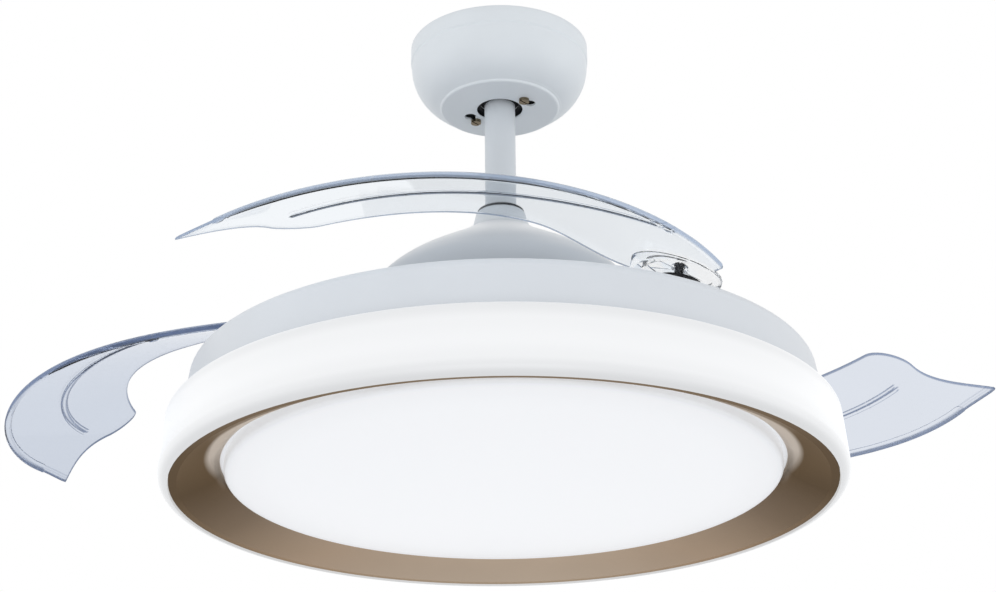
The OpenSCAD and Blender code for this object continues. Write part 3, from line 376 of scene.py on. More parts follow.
# Painted reflection and shade: one plastic in three copies, palest on the nearest blade, where the
# white room mirrors in it.
blade_plastic = {
    "a": clear_plastic("clear_blade_a", tone(241, 245, 249), tone(172, 187, 210)),
    "b": clear_plastic("clear_blade_b", tone(222, 227, 236), tone(132, 147, 177)),
    "c": clear_plastic("clear_blade_c", tone(206, 213, 225), tone(112, 128, 161)),
}
paints["clear_blade"] = blade_plastic["a"]
print(len(blade_plastic), "depths of tint")

# %% [markdown]
# ## Dressing the solids
# Each solid arrives with a plain material named after its finish. The finish stays, and the plain
# material gives way to the one made above. A few pieces have a look of their own.

# %% New materials on the solids
special = {
    "canopy_screws": paints["screw_brass"],
    # Painted shade: the zinc-plated bracket is given the dark plate so that the keyholes show black.
    "ceiling_bracket": paints["dark_plate"],
    "ring_diffuser": ring_glow,
    "main_diffuser": disc_glow,
    "led_lenses": inner_glow,
    "ring_led_strip": inner_glow,
}
for name, obj in nodes.items():
    finish = obj.material_slots[0].material.name
    obj.material_slots[0].material = special.get(name, paints[finish])
print("dressed", len(nodes), "solids")


# %% [markdown]
# ## Making meshes
# The pieces that replace solids are made from points and faces. Some are joined or cut with
# other shapes, and a modifier does that without changing the shape it works on, so the result is
# stored as a plain mesh at the end.

# %% Objects, outward faces and settled meshes
def added(name, data):
    obj = bpy.data.objects.new(name, data)
    bpy.context.scene.collection.objects.link(obj)
    return obj


def made_of(name, points, faces):
    mesh = bpy.data.meshes.new(name)
    mesh.from_pydata(np.asarray(points, float).tolist(), [], faces)
    return added(name, mesh)


def outward(mesh):
    work = bmesh.new()
    work.from_mesh(mesh)
    bmesh.ops.recalc_face_normals(work, faces=work.faces)
    work.to_mesh(mesh)
    work.free()


def smooth(mesh):
    for face in mesh.polygons:
        face.use_smooth = True


def crisp(mesh, degrees):
    """Keep an edge sharp where its two faces meet at more than this angle."""
    mesh.set_sharp_from_angle(angle=math.radians(degrees))


def combined(obj, tool, operation):
    made = obj.modifiers.new(tool.name, "BOOLEAN")
    made.operation, made.solver, made.object = operation, "EXACT", tool


def settled(obj):
    """The mesh that an object's modifiers make, as a plain mesh."""
    view = bpy.context.evaluated_depsgraph_get()
    return bpy.data.meshes.new_from_object(obj.evaluated_get(view))


# %% [markdown]
# ## The motor cover
# The cover is spun from one steel disc over a form. Spinning gives it a continuous curve, from a
# flat seat at the neck over a shallow shoulder into a straight skirt, with no crease. The sheet is
# turned here as one closed profile: outside, rolled lower edge, inside.

# %% Curves and a turned sheet
def arc(centre, radius, start, end, steps):
    a = np.radians(np.linspace(start, end, steps + 1))
    return np.array(centre) + radius * np.stack([np.cos(a), np.sin(a)], 1)


def smooth_curve(points, steps):
    """A curve from the first to the last of four points, drawn towards the two between."""
    p = [np.array(q, float) for q in points]
    t = np.linspace(0, 1, steps + 1)[:, None]
    return ((1 - t) ** 3 * p[0] + 3 * t * (1 - t) ** 2 * p[1]
            + 3 * t ** 2 * (1 - t) * p[2] + t ** 3 * p[3])


def inside_of(outside, thickness, least):
    """The inside line of a sheet, run backwards, so that it closes the outside line."""
    lean = np.gradient(outside, axis=0)
    inward = np.stack([lean[:, 1], -lean[:, 0]], 1) / np.hypot(*lean.T)[:, None]
    within = (outside + thickness * inward)[::-1]
    within[:, 0] = np.maximum(within[:, 0], least)
    return within


def turned(name, profile, sides=192):
    """A closed ring of revolution from a closed profile of (radius, height) in millimetres."""
    a = np.linspace(0, 2 * math.pi, sides, endpoint=False)
    count = len(profile)
    points = np.array([(r * math.cos(t), r * math.sin(t), z) for t in a for r, z in profile]) / 1000
    faces = []
    for i in range(sides):
        j = (i + 1) % sides
        for k in range(count):
            n = (k + 1) % count
            faces.append((i * count + k, j * count + k, j * count + n, i * count + n))
    obj = made_of(name, points, faces)
    outward(obj.data)
    smooth(obj.data)
    return obj


# %% The motor cover's profile
pressed_t = 1.6
cover_r, cover_neck_r, lip_r = 102, 16.2, 100.4
seat_height, roll_height, foot_height = -163.05, -237.4, -237.9
upper_curve = smooth_curve([(30.5, -164), (54, -180.5), (93, -196), (cover_r, -219)], 40)[:33]
last_step = upper_curve[-1] - upper_curve[-2]
heading = last_step / np.hypot(*last_step)
shoulder = smooth_curve([upper_curve[-1], upper_curve[-1] + 9 * heading, (cover_r, -216),
                         (cover_r, -231)], 16)[1:]
outside = np.vstack([[(cover_neck_r, seat_height), (28.3, seat_height), (29.6, -163.3)],
                     upper_curve, shoulder, [(cover_r, roll_height), (101.8, foot_height)]])
within = inside_of(outside, pressed_t, cover_neck_r)
within[:, 0] = np.minimum(within[:, 0], lip_r)
within[:2] = [(100.6, foot_height), (lip_r, roll_height)]
profile = np.vstack([outside, within])
cover = turned("turned_motor_cover", profile)
crisp(cover.data, 60)
cover.data.materials.append(cover_paint)
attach(cover, "hanging")
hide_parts("motor_cover")
print("motor cover:", len(profile), "points in its profile")

# %% [markdown]
# ## The canopy
# The canopy is drawn from sheet too: a straight band against the ceiling with a fine rolled bead
# under it, a deep bowl, a small step and a flat foot with the hole for the rod. Two keyholes in
# the foot slip over the heads of the screws, and a turn locks them.

# %% The canopy with its bead and step
rod_hole_r, ceiling_gap = 17.82, 0.02
band = [(69.8, -ceiling_gap), (70, -0.3), (70, -6), (70, -12.6), (69.95, -13.3), (69.5, -13.9),
        (69.15, -14.5), (69.1, -15.1), (69.25, -15.7)]
bowl = arc((30.8, -16.4), 38.5, 0, -63.5, 33)
foot = [(47.7, -51.1), (47.2, -51.25), (46.8, -51.6), (46.6, -52.1), (46.4, -52.7), (45.9, -53.2),
        (45.2, -53.48), (44.2, -53.5), (38, -53.5), (30, -53.5), (22, -53.5), (18.4, -53.5),
        (17.95, -53.3), (rod_hole_r, -52.8)]
outside = np.vstack([band, bowl, foot])
within = inside_of(outside, pressed_t, rod_hole_r)
within[:, 1] = np.minimum(within[:, 1], -ceiling_gap)
canopy = turned("turned_canopy", np.vstack([outside, within]), 256)
print("canopy:", len(outside), "points in its outside line")


# %% Keyholes in the foot
def cutter(outline, low, high):
    count = len(outline)
    points = np.vstack([np.c_[outline, np.full(count, z)] for z in (low, high)]) / 1000
    faces = [tuple(range(count))[::-1], tuple(range(count, 2 * count))]
    faces += [(i, (i + 1) % count, (i + 1) % count + count, i + count) for i in range(count)]
    return made_of("keyhole", points, faces)


def round_hole(centre, radius):
    return arc(centre, radius, 0, 354, 59)


screw_angle, keyhole_r, sweep = 138.0, 25.5, 18
slot_half, head_r, axis = 2.3, 4.6, (0, 0)
cut_from, cut_to = -55, -50
cutters = []
for turn in (screw_angle, screw_angle + 180):
    far = turn + sweep
    narrow, wide = (arc(axis, keyhole_r, angle, angle, 0)[0] for angle in (turn, far))
    slot = np.vstack([arc(axis, keyhole_r + slot_half, turn, far, 8),
                      arc(axis, keyhole_r - slot_half, far, turn, 8)])
    for shape in (slot, round_hole(narrow, slot_half), round_hole(wide, head_r)):
        cutters.append(cutter(shape, cut_from, cut_to))
        combined(canopy, cutters[-1], "DIFFERENCE")
cut_mesh = settled(canopy)
canopy.modifiers.clear()
canopy.data = cut_mesh
for tool in cutters:
    bpy.data.objects.remove(tool)
cut_mesh.materials.clear()
cut_mesh.materials.append(paints["canopy_white"])
crisp(cut_mesh, 42)
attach(canopy, "ceiling")
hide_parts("canopy")
print("canopy:", len(cut_mesh.polygons), "faces")


# %% [markdown]
# ## Pieces grown from a rule
# Three hidden pieces repeat one small shape many times: the motor's windings, the diodes on the
# ring's strip and the coils of the return springs. A node tree grows each of them from a few named
# sizes. A tree ends by turning its copies into real geometry and giving them their material, and
# the result is stored as a plain mesh.

# %% A node tree with named sizes
def new_tree(name, sizes):
    tree = bpy.data.node_groups.new(name, "GeometryNodeTree")
    tree.interface.new_socket("Geometry", in_out="OUTPUT", socket_type="NodeSocketGeometry")
    for label, value in sizes.items():
        kind = ("NodeSocketMaterial" if isinstance(value, bpy.types.Material) else
                "NodeSocketInt" if isinstance(value, int) else "NodeSocketFloat")
        tree.interface.new_socket(label, in_out="INPUT", socket_type=kind)
    given = tree.nodes.new("NodeGroupInput")
    return tree, given.outputs, tree.nodes.new("NodeGroupOutput")


def finished(tree, copies, material, out):
    real = node(tree, "GeometryNodeRealizeInstances", {"Geometry": copies})
    dressed = node(tree, "GeometryNodeSetMaterial",
                   {"Geometry": real.outputs["Geometry"], "Material": material})
    link(tree, dressed.outputs["Geometry"], out.inputs["Geometry"])


def grow(name, tree, sizes):
    """Run a tree once and keep what it makes as a plain mesh."""
    holder = added(name, bpy.data.meshes.new(name))
    modifier = holder.modifiers.new("grow", "NODES")
    modifier.node_group = tree
    for item in tree.interface.items_tree:
        if item.in_out == "INPUT":
            modifier[item.identifier] = sizes[item.name]
    mesh = settled(holder)
    bpy.data.objects.remove(holder)
    mesh.name = name
    smooth(mesh)
    crisp(mesh, 40)
    return mesh


def placed(name, mesh, body, replaced):
    obj = added(name, mesh)
    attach(obj, body)
    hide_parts(replaced)
    print(name, len(mesh.polygons), "faces")


# %% Wire along a curve, and copies round the axis
def wire_along(tree, curve, radius, sides, caps=False):
    section = node(tree, "GeometryNodeCurvePrimitiveCircle",
                   {"Resolution": sides, "Radius": radius}).outputs["Curve"]
    wire = node(tree, "GeometryNodeCurveToMesh",
                {"Curve": curve, "Profile Curve": section, "Fill Caps": caps})
    return wire.outputs["Mesh"]


def turned_copies(tree, shape, count):
    spots = node(tree, "GeometryNodeMeshLine", {"Count": count, "Offset": (0, 0, 0)})
    index = node(tree, "GeometryNodeInputIndex").outputs["Index"]
    angle = maths(tree, "DIVIDE", maths(tree, "MULTIPLY", index, 2 * math.pi), count)
    turn = node(tree, "FunctionNodeEulerToRotation", {"Euler": vector(tree, z=angle)})
    copies = node(tree, "GeometryNodeInstanceOnPoints",
                  {"Points": spots.outputs["Mesh"], "Instance": shape,
                   "Rotation": turn.outputs["Rotation"]})
    return copies.outputs["Instances"]


# %% [markdown]
# ### Windings
# Each tooth of the motor's core carries one coil of enamelled copper wire. The turns lie side by
# side along the tooth and are never perfectly even, so each turn is shifted by a tiny random
# amount with a fixed seed.

# %% The copper windings
sizes = {"Teeth": 12, "Turns": 24, "Wire radius": 0.0006, "Inner radius": 0.0476,
         "Turn pitch": 0.00118, "Coil width": 0.0182, "Coil height": 0.0248,
         "Middle height": -0.224, "Seed": 7, "Wire": paints["copper_wire"]}
tree, value, out = new_tree("windings", sizes)
loop = node(tree, "GeometryNodeCurvePrimitiveQuadrilateral",
            {"Width": value["Coil width"], "Height": value["Coil height"]}).outputs["Curve"]
rounded = node(tree, "GeometryNodeFilletCurve", {"Curve": loop, "Count": 4, "Radius": 0.003},
               mode="POLY").outputs["Curve"]
upright_loop = node(tree, "GeometryNodeTransform",
                    {"Geometry": wire_along(tree, rounded, value["Wire radius"], 8),
                     "Rotation": (math.pi / 2, 0, math.pi / 2)}).outputs["Geometry"]
start = vector(tree, x=value["Inner radius"], z=value["Middle height"])
row = node(tree, "GeometryNodeMeshLine",
           {"Count": value["Turns"], "Start Location": start,
            "Offset": vector(tree, x=value["Turn pitch"])}).outputs["Mesh"]
slack = (0.00002, 0.00012, 0.00012)
loose = node(tree, "FunctionNodeRandomValue",
             {0: tuple(-x for x in slack), 1: slack, "Seed": value["Seed"]},
             data_type="FLOAT_VECTOR").outputs[0]
shifted = node(tree, "GeometryNodeSetPosition", {"Geometry": row, "Offset": loose})
coil = node(tree, "GeometryNodeInstanceOnPoints",
            {"Points": shifted.outputs["Geometry"], "Instance": upright_loop})
finished(tree, turned_copies(tree, coil.outputs["Instances"], value["Teeth"]), value["Wire"], out)
placed("copper_windings", grow("copper_windings", tree, sizes), "hanging", "stator_coils")

# %% [markdown]
# ### Diodes on the ring's strip
# A flexible strip runs round the inner wall and carries one small diode after the other. The opal
# ring in front of it blurs them into one even band.

# %% The row of diodes
sizes = {"Diodes": 132, "Radius": 0.21442, "Length": 0.0035, "Height": 0.0028, "Depth": 0.0005,
         "Middle height": -0.33325, "Diode": inner_glow}
tree, value, out = new_tree("diode_row", sizes)
chip = node(tree, "GeometryNodeMeshCube",
            {"Size": vector(tree, value["Depth"], value["Length"], value["Height"])})
moved = node(tree, "GeometryNodeTransform",
             {"Geometry": chip.outputs["Mesh"],
              "Translation": vector(tree, x=value["Radius"], z=value["Middle height"])})
finished(tree, turned_copies(tree, moved.outputs["Geometry"], value["Diodes"]), value["Diode"], out)
chips = grow("diodes", tree, sizes)
print(len(chips.polygons), "faces on the diodes")

# %% The strip that carries them
strip_in, strip_out, strip_low, strip_high = 213.62, 214.2, -338.25, -328.25
strip = turned("diode_strip", [(strip_in, strip_low), (strip_out, strip_low),
                               (strip_out, strip_high), (strip_in, strip_high)], 240)
strip.data.materials.append(paints["driver_case"])
crisp(strip.data, 40)
work = bmesh.new()
work.from_mesh(strip.data)
first_chip = len(work.faces)
work.from_mesh(chips)
work.faces.ensure_lookup_table()
for face in work.faces[first_chip:]:
    face.material_index = 1
work.to_mesh(strip.data)
work.free()
strip.data.materials.append(inner_glow)
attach(strip, "hanging")
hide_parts("ring_led_strip")
print("diode strip", len(strip.data.polygons), "faces")


# %% [markdown]
# ## The shape of one blade
# A folding blade is a narrow crescent. Its long leading edge is one large arc with a smaller arc
# at the root. The trailing edge runs from the hub to a neck, swells to a bump, dips to a notch
# and ends in a pointed tip. The curves are drawn flat, seen along the pivot, in millimetres.

# %% The blade's leading edge
def direction(degrees):
    return np.array([math.cos(math.radians(degrees)), math.sin(math.radians(degrees))])


lead_centre, lead_r, root_r = np.array([156.6, -67.0]), 216.0, 180.0
lead_from, lead_to, root_at = 127.7, 47.5, 156.0
root_centre = lead_centre + (lead_r - root_r) * direction(lead_from)
tip, notch, bump, neck = (np.array(p, float) for p in ((337, 61), (282, 39), (249, 23.5), (98, 39)))
hub_r, hub_reach = 30.5, 4.0

lead_line = np.vstack([arc(root_centre, root_r, root_at, lead_from, 20),
                       arc(lead_centre, lead_r, lead_from, lead_to, 90)[1:]])
end = lead_line[-1]
past = np.array([math.sin(math.radians(lead_to)), -math.cos(math.radians(lead_to))])
lead_line = np.vstack([lead_line, smooth_curve([end, end + 20 * past, tip + [-1, 3], tip], 12)[1:]])
print("leading edge of", len(lead_line), "points")


# %% The trailing edge, the hub and the whole outline
def even_steps(line, step):
    """The same line with its points a fixed step apart."""
    run = np.r_[0, np.cumsum(np.hypot(*np.diff(line, axis=0).T))]
    marks = np.linspace(0, run[-1], max(2, int(round(run[-1] / step)) + 1))
    return np.stack([np.interp(marks, run, line[:, k]) for k in (0, 1)], 1)


trail_line = np.vstack([
    smooth_curve([tip, tip + [-17, -2], notch + [8, 21], notch], 18),
    smooth_curve([notch, notch + [-3.5, -11], bump + [11, -5.5], bump], 14)[1:],
    smooth_curve([bump, bump + [-32, 17.5], neck + [46, 33], neck], 40)[1:],
    smooth_curve([neck, neck + [-22, -16], [56, -38], [20, -27]], 24)[1:],
])
tail_r, outline_step = 8, 1.6
tail_centre = lead_line[0] - tail_r * (lead_line[0] - root_centre) / root_r
round_hub = np.vstack([arc([hub_reach, 0], hub_r, -60, -90, 10),
                       arc([0, 0], hub_r, -90, -215, 40),
                       arc(tail_centre, tail_r, 216, 156, 6)])
outline = even_steps(np.vstack([lead_line, trail_line[1:], round_hub]), outline_step)[:-1][::-1]
print("outline of", len(outline), "points, tip", tip.tolist())

# %% [markdown]
# ## The arch of the sheet
# The sheet is bent like a piece cut from a large pipe, so that a folded blade follows the lamp's
# round drum from above. The pipe's axis is skewed to the blade and pitched down towards the
# leading edge. `on_arch` gives the height of a surface that lies a little above or below the
# middle of the sheet.

# %% Heights on the arch
arch_r, arch_slope, arch_skew, blade_pitch = 581.0, 9.8, 19.0, 10.6
half_sheet = 1.2

pipe_turn = np.array(Matrix.Rotation(math.radians(-blade_pitch), 3, "X")
                     @ Matrix.Rotation(math.radians(arch_skew), 3, "Z"))
pipe_centre = np.array([arch_r * math.sin(math.radians(arch_slope)), 0,
                        -arch_r * math.cos(math.radians(arch_slope))])


def on_arch(uv, offset):
    flat = np.c_[uv, np.zeros(len(uv))] @ pipe_turn - pipe_centre
    rise = pipe_turn.T @ np.array([0, 0, 1.0])
    a = rise[0] ** 2 + rise[2] ** 2
    b = 2 * (flat[:, 0] * rise[0] + flat[:, 2] * rise[2])
    c = flat[:, 0] ** 2 + flat[:, 2] ** 2 - (arch_r + offset) ** 2
    return (-b + np.sqrt(b * b - 4 * a * c)) / (2 * a)


print("the tip lies", round(float(on_arch(tip[None], 0)[0]), 1), "mm from the hub's level")


# %% [markdown]
# ## Edges, rim and rib
# A moulded edge is never sharp: the two faces meet in a small round, and this round is what
# draws the bright and dark line along a clear blade. A thicker rim stiffens the leading edge,
# and one shallow rib under the sheet runs from the hub towards the tip. Points are laid close
# together along these lines and far apart on the plain sheet between them.

# %% Distances to a line
def distance_to(points, line, closed=False):
    ends = np.vstack([line, line[:1]]) if closed else line
    best = np.full(len(points), 1e9)
    for p, q in zip(ends[:-1], ends[1:]):
        d = q - p
        t = np.clip(((points - p) @ d) / (d @ d), 0, 1)
        best = np.minimum(best, np.hypot(*(points - p - t[:, None] * d).T))
    return best


def inset(line, amount):
    ahead = np.roll(line, -1, 0) - np.roll(line, 1, 0)
    side = np.stack([-ahead[:, 1], ahead[:, 0]], 1)
    return line + amount * side / np.hypot(*side.T)[:, None]


def inside(points, line):
    x, y = points.T
    hit = np.zeros(len(points), bool)
    for (x0, y0), (x1, y1) in zip(line, np.roll(line, -1, 0)):
        if y0 != y1:
            cross = (y0 > y) != (y1 > y)
            hit ^= cross & (x < (x1 - x0) * (y - y0) / (y1 - y0) + x0)
    return hit


# %% The rib's line
rib_centre, rib_r, rib_half, rib_h = np.array([135.0, -95.0]), 202.0, 1.8, 1.0
rib_angles = (51.5, 127.0)
rim_w, rim_extra = 4.5, 1.3


def rib_line(angle):
    """Distance of the rib's middle from its centre: it bends outward near the hub."""
    return rib_r + 0.017 * np.clip(angle - 95, 0, 60) ** 2


def round_rib(points):
    """Distance and bearing of points from the rib's centre."""
    arm = points - rib_centre
    return np.hypot(*arm.T), np.degrees(np.arctan2(arm[:, 1], arm[:, 0]))


print("the rib is", round(math.radians(rib_angles[1] - rib_angles[0]) * rib_r), "mm long")

# %% Points over the blade's plan
edge_rows = (0.12, 0.42, 0.85, 1.3, 1.8, 2.5, 3.4, 4.0, 4.6, 5.4, 7.5)
rib_rows = (-3.2, -2.6, -2.0, -1.4, -0.7, 0, 0.7, 1.4, 2.0, 2.6, 3.2)
field_step, closest, least_gap = 5.0, 0.1, 0.25
wanted = [inset(outline, depth) for depth in edge_rows]
bearings = np.linspace(rib_angles[0] - 0.4, rib_angles[1] + 0.4, 140)
ray = np.stack([np.cos(np.radians(bearings)), np.sin(np.radians(bearings))], 1)
wanted += [rib_centre + (rib_line(bearings) + shift)[:, None] * ray for shift in rib_rows]
across, along = np.meshgrid(np.arange(-34, 340, field_step), np.arange(-40, 150, field_step))
staggered = across + field_step / 2 * (along / field_step % 2)
wanted.append(np.c_[staggered.ravel(), along.ravel()])
kept = [outline]
for group in wanted:
    group = group[inside(group, outline)]
    kept.append(group[distance_to(group, outline, closed=True) > closest])
plan = np.vstack(kept)
first = np.sort(np.unique(np.round(plan / least_gap), axis=0, return_index=True)[1])
first = np.r_[np.arange(len(outline)), first[first >= len(outline)]]
plan = plan[first]
print(len(plan), "points in the plan")

# %% The plan in triangles
found = geometry.delaunay_2d_cdt([Vector(p) for p in plan], [], [list(range(len(outline)))],
                                 1, 1e-5)
plan = np.array([tuple(p) for p in found[0]])
plan_faces = [tuple(f) for f in found[2]]
to_edge = distance_to(plan, outline, closed=True)
on_edge = to_edge < 1e-3
print(len(plan_faces), "triangles,", int(on_edge.sum()), "points on the edge")


# %% Thickness at each point
def soft_step(x):
    x = np.clip(x, 0, 1)
    return x * x * (3 - 2 * x)


to_lead = distance_to(plan, lead_line[:-12])
half = half_sheet + rim_extra * soft_step(rim_w + 0.5 - to_lead)
bow = 1 - np.clip(to_edge / half, 0, 1)
half_round = half * np.sqrt(np.clip(1 - bow * bow, 0, 1))
reach, bearing = round_rib(plan)
rib = soft_step((rib_half + 1.2 - np.abs(reach - rib_line(bearing))) / 1.6)
rib = rib * soft_step((bearing - rib_angles[0]) / 0.4) * soft_step((rib_angles[1] - bearing) / 0.4)
upper = on_arch(plan, half_round)
lower = on_arch(plan, -half_round - rib_h * rib * (to_edge > 3))
upper[on_edge] = lower[on_edge] = on_arch(plan, 0)[on_edge]
print("sheet", round(float((upper - lower).max()), 2), "mm at its thickest")

# %% The sheet as one closed skin
low_index = np.arange(len(plan))
low_index[~on_edge] = len(plan) + np.arange(int((~on_edge).sum()))
skin = np.vstack([np.c_[plan, upper], np.c_[plan, lower][~on_edge]])
under_faces = [tuple(int(low_index[k]) for k in reversed(f)) for f in plan_faces]
sheet = made_of("one_sheet", skin, plan_faces + under_faces)
outward(sheet.data)
print("skin of", len(skin), "points")


# %% [markdown]
# ## The hub of a blade
# Under its root each blade has a shallow open cup that covers the pivot. Inside it are a ring,
# six thin ribs and a boss that holds the post. On the real blade all of this is moulded with the
# sheet, so the pieces are joined into one skin here too, and the hole for the post is cut last.

# %% Walls and cylinders
def upright(outer, inner, low, closed=True):
    """A wall between two lines, from a softened foot up to the middle of the sheet."""
    rows = []
    for mix, lift in ((0, 0.4), (0, None), (1, None), (1, 0.4), (0.8, 0), (0.2, 0)):
        line = outer * (1 - mix) + inner * mix
        middle = on_arch(line, 0)
        foot = np.minimum(low, middle - 0.9)
        rows.append(np.c_[line, middle if lift is None else foot + lift])
    count, points, faces = len(outer), np.vstack(rows), []
    for row in range(6):
        for i in range(count if closed else count - 1):
            j = (i + 1) % count
            nxt = (row + 1) % 6
            faces.append((row * count + i, row * count + j, nxt * count + j, nxt * count + i))
    if not closed:
        faces.append(tuple(row * count for row in range(6)))
        faces.append(tuple(row * count + count - 1 for row in range(6))[::-1])
    return points, faces


def drum(radius, low, high, sides=64):
    """A plain closed cylinder with softened rims."""
    ring = arc([0, 0], 1, 0, 360, sides)[:-1]
    levels = [(radius - 0.3, low), (radius, low + 0.3), (radius, high - 0.3), (radius - 0.3, high)]
    points = np.vstack([np.c_[ring * r, np.full(sides, z)] for r, z in levels])
    faces = [tuple(range(sides))[::-1], tuple(3 * sides + k for k in range(sides))]
    for k in range(3):
        for i in range(sides):
            j = (i + 1) % sides
            faces.append((k * sides + i, k * sides + j, (k + 1) * sides + j, (k + 1) * sides + i))
    return points, faces


# %% Cup, ring, ribs and boss
def cup_line(radius):
    return np.vstack([arc([hub_reach, 0], radius, -90, 90, 48), arc([0, 0], radius, 90, 270, 48)])


def ring_line(radius):
    return arc([0, 0], radius, 0, 360, 72)[:-1]


hub_low, hub_top, hub_wall, ring_r = -8.0, 2.6, 2.2, 26.0
boss_r, bore_r, hub_ribs, rib_thick = 6.0, 3.32, 6, 1.8
hub_parts = [upright(cup_line(hub_r - 0.15), cup_line(hub_r - hub_wall), hub_low),
             upright(ring_line(ring_r), ring_line(ring_r - hub_wall), hub_low + 2),
             drum(boss_r, hub_low + 1, hub_top)]
for k in range(hub_ribs):
    outward_way = direction(30 + 360 / hub_ribs * k)
    side = np.array([-outward_way[1], outward_way[0]]) * rib_thick / 2
    line = np.linspace(boss_r - 1, ring_r - 1, 9)[:, None] * outward_way
    hub_parts.append(upright(line - side, line + side, hub_low + 5, closed=False))
print(len(hub_parts), "pieces in the hub")

# %% Joining them with the sheet
helpers = [sheet]
for k, (points, faces) in enumerate([*hub_parts, drum(bore_r, -12, 9)]):
    piece = made_of(f"hub_part_{k}", points, faces)
    outward(piece.data)
    helpers.append(piece)
    combined(sheet, piece, "UNION" if k < len(hub_parts) else "DIFFERENCE")
blade_mesh = settled(sheet)
for piece in helpers:
    bpy.data.objects.remove(piece)
shortest = 0.002
work = bmesh.new()
work.from_mesh(blade_mesh)
bmesh.ops.remove_doubles(work, verts=work.verts, dist=shortest)
bmesh.ops.dissolve_degenerate(work, dist=shortest, edges=work.edges)
open_edges = sum(1 for e in work.edges if not e.is_manifold)
work.to_mesh(blade_mesh)
work.free()
print(len(blade_mesh.polygons), "faces in one blade,", open_edges, "open edges")

# %% Edge and frost values on the mesh
uv = np.array([v.co for v in blade_mesh.vertices])[:, :2]
reach, bearing = round_rib(uv)
on_rib = (bearing > rib_angles[0] - 0.3) & (bearing < rib_angles[1] + 0.3)
# The slate lines along the rib's flanks, inside the rim and at the outline are partly the tint of a
# longer path through the plastic and partly painted shade for the lines that bending light draws
# there.
rib_flank = soft_step(1.3 - np.abs(np.abs(reach - rib_line(bearing)) - rib_half) / 0.55) * on_rib
rim_flank = 0.3 * soft_step(1.4 - np.abs(distance_to(uv, lead_line) - rim_w) / 0.6)
edge = soft_step(1.25 - distance_to(uv, outline, closed=True))
from_post = np.hypot(*uv.T)
frost_r, frost_fade, post_zone = 33, 4, 13
frost = soft_step((frost_r - from_post) / frost_fade) * np.where(from_post > post_zone, 1.0, 0.3)
values = {"edge": np.maximum(np.maximum(edge, rib_flank), rim_flank) * (1 - 0.6 * frost),
          "frost": frost}
for name, numbers in values.items():
    layer = blade_mesh.attributes.new(name, "FLOAT", "POINT")
    layer.data.foreach_set("value", numbers.astype(np.float32))
print("edge on", int((edge > 0.5).sum()), "points, frost on", int((frost > 0.4).sum()))

# %% [markdown]
# ## Three blades on their pivots
# The three pivots stand on one circle, a third of a turn apart. Each leans a little outward and
# a little sideways, so that a blade changes its height as it opens. In the picture each blade
# has opened by a different amount, as when a fan is just starting or stopping.

# %% Where the pivots are
pivot_circle, pivot_height, first_pivot = 179.3, -249.8, -46.5
lean_out, lean_side, folded_at = 7.0, 8.3, -157.5
opened = {"a": 19.8, "b": 59.9, "c": 79.4}
to_metres = Matrix.Scale(0.001, 4)


def pivot_frame(k, turn=0.0):
    return (Matrix.Rotation(math.radians(first_pivot + 120 * k), 4, "Z")
            @ Matrix.Translation((pivot_circle, 0, pivot_height))
            @ Matrix.Rotation(math.radians(lean_out), 4, "Y")
            @ Matrix.Rotation(math.radians(-lean_side), 4, "X")
            @ Matrix.Rotation(math.radians(turn), 4, "Z"))


print("pivots at", [[round(x, 1) for x in pivot_frame(k).translation] for k in range(3)])

# %% Placing the blades
for k, letter in enumerate("abc"):
    mesh = blade_mesh.copy()
    mesh.name = f"clear_blade_{letter}"
    mesh.transform(to_metres @ pivot_frame(k, folded_at + opened[letter]))
    smooth(mesh)
    crisp(mesh, 50)
    mesh.materials.clear()
    mesh.materials.append(blade_plastic[letter])
    obj = added(mesh.name, mesh)
    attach(obj, f"blade_{letter}")
    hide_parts(f"blade_{k + 1}")
    low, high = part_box(f"blade_{k + 1}")
    mine = np.array([v.co for v in mesh.vertices])
    print(letter, "solid", [round(x * 1000, 1) for x in (*low, *high)])
    print(letter, "dressed", np.round(np.r_[mine.min(0), mine.max(0)] * 1000, 1).tolist())

# %% [markdown]
# ### Return springs
# Round each post sits a small spring that folds the blade when the fan stops. It is wound from
# thin steel wire in close turns.

# %% The springs on their pivots
sizes = {"Rotations": 2.4, "Coil radius": 0.0066, "Height": 0.00209, "Wire radius": 0.0004,
         "Low end": -0.02375, "Wire": paints["steel"]}
tree, value, out = new_tree("return_spring", sizes)
helix = node(tree, "GeometryNodeCurveSpiral",
             {"Resolution": 48, "Rotations": value["Rotations"], "Start Radius": value["Coil radius"],
              "End Radius": value["Coil radius"], "Height": value["Height"]}).outputs["Curve"]
lowered = node(tree, "GeometryNodeTransform",
               {"Geometry": wire_along(tree, helix, value["Wire radius"], 14, caps=True),
                "Translation": vector(tree, z=value["Low end"])})
finished(tree, lowered.outputs["Geometry"], value["Wire"], out)
one_spring = grow("one_spring", tree, sizes)
work = bmesh.new()
for k in range(3):
    copy = one_spring.copy()
    copy.transform(to_metres @ pivot_frame(k) @ Matrix.Scale(1000, 4))
    work.from_mesh(copy)
three_springs = bpy.data.meshes.new("return_coils")
work.to_mesh(three_springs)
work.free()
three_springs.materials.append(paints["steel"])
smooth(three_springs)
crisp(three_springs, 40)
placed("return_coils", three_springs, "rotor", "return_springs")

# %% [markdown]
# ## Floor and light
# The fan is seen against plain white. The floor is far below, pale and matt. The light comes
# from large soft panels at both sides and one in front, below the lamp. The surroundings are
# white for the camera, in reflections and through the clear plastic. The light that they throw on
# the fan is about half as strong from overhead.

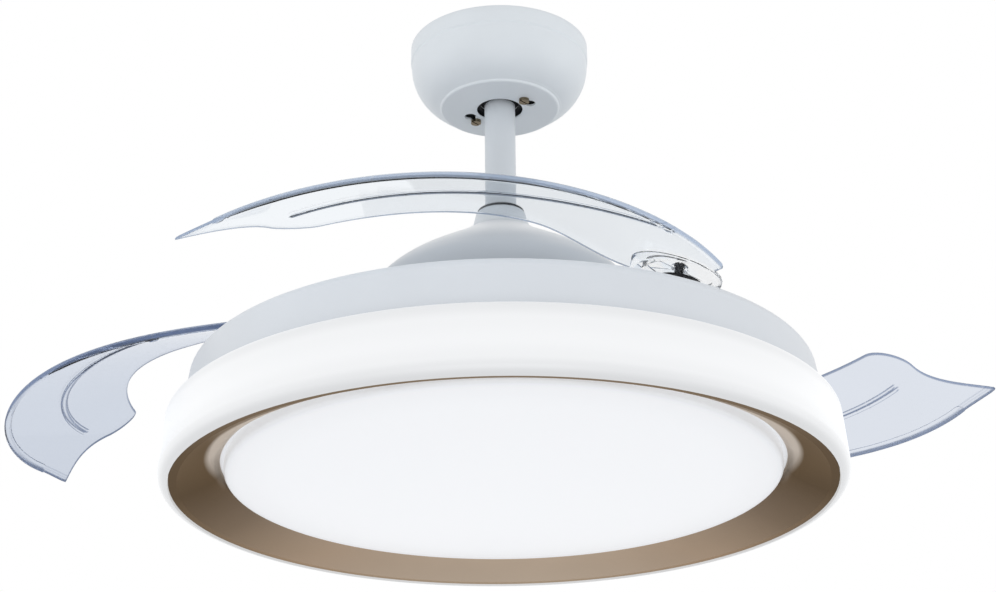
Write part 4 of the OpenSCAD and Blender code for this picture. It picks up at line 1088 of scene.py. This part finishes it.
# %% The floor
floor_half, floor_height = 7, -2.6
corners = [(-floor_half, -floor_half), (floor_half, -floor_half), (floor_half, floor_half),
           (-floor_half, floor_half)]
floor = made_of("floor", [(x, y, 0) for x, y in corners], [(0, 1, 2, 3)])
floor.location = (0, 0, floor_height)
floor.data.materials.append(surface("floor_paint", tone(244, 244, 245), rough=0.9, drift=0.004,
                                    drift_size=0.8, grain=40, bump=0.00005))
print("floor", 2 * floor_half, "m wide at height", floor_height)


# %% The lamps
def soft_lamp(name, place, size, power, target=(0, 0, -0.25)):
    data = bpy.data.lights.new(name, "AREA")
    data.shape = "RECTANGLE"
    data.size, data.size_y = size
    data.energy = power
    obj = added(name, data)
    obj.location = place
    obj.rotation_euler = (Vector(place) - Vector(target)).to_track_quat("Z", "Y").to_euler()


soft_lamp("left_panel", (-2.6, -0.3, -0.5), (2.2, 1.8), 8)
soft_lamp("right_panel", (2.6, -0.3, -0.5), (2.2, 1.8), 8.5)
soft_lamp("front_panel", (0, -2.5, -1.9), (2.4, 1.6), 16)

# %% The white surroundings
world = bpy.data.worlds.new("surroundings")
bpy.context.scene.world = world
world.use_nodes = True
tree = world.node_tree
background = tree.nodes["Background"]
background.inputs["Color"].default_value = (1, 1, 1, 1)
rays = node(tree, "ShaderNodeLightPath").outputs
seen = maths(tree, "MAXIMUM", rays["Is Camera Ray"], rays["Is Transmission Ray"])
seen = maths(tree, "MAXIMUM", seen, rays["Is Glossy Ray"])
where = node(tree, "ShaderNodeTexCoord").outputs["Generated"]
height = node(tree, "ShaderNodeSeparateXYZ", {"Vector": where}).outputs["Z"]
overhead = ranged(tree, height, 0.0, 0.9, 1.0, 0.54)
level = node(tree, "ShaderNodeMix", {"Factor": seen, "A": overhead, "B": 1.0})
link(tree, level.outputs["Result"], background.inputs["Strength"])
bpy.context.scene.view_settings.view_transform = "Standard"
print("world and lamps in place")

# %% [markdown]
# ## Camera
# The camera stands about one and a half metres from the fan's axis and half a metre below the
# lamp, and it is tilted up by 23 degrees. From there the round underside of the lamp shows as a
# flat ellipse.

# %% The camera
pixels_wide = 996
focal_pixels = 2091.76
camera_place = (0, -1.4539, -0.84025)
pitch, roll, turn = (math.radians(a) for a in (23.342, 0.592, -0.115))
forward = Vector((math.sin(turn) * math.cos(pitch), math.cos(turn) * math.cos(pitch),
                  math.sin(pitch)))
level_right = Vector((math.cos(turn), -math.sin(turn), 0))
level_down = forward.cross(level_right)
right = level_right * math.cos(roll) + level_down * math.sin(roll)
down = level_down * math.cos(roll) - level_right * math.sin(roll)
lens = bpy.data.cameras.new("photo_view")
lens.sensor_fit = "HORIZONTAL"
lens.sensor_width = 36
lens.lens = focal_pixels / pixels_wide * lens.sensor_width
lens.clip_start, lens.clip_end = 0.01, 50
camera = added("photo_view", lens)
aim = Matrix((right, -down, -forward)).transposed().to_4x4()
camera.matrix_world = Matrix.Translation(camera_place) @ aim
bpy.context.scene.camera = camera
print("lens", round(lens.lens, 2), "mm, tilted up", round(math.degrees(pitch), 1), "degrees")
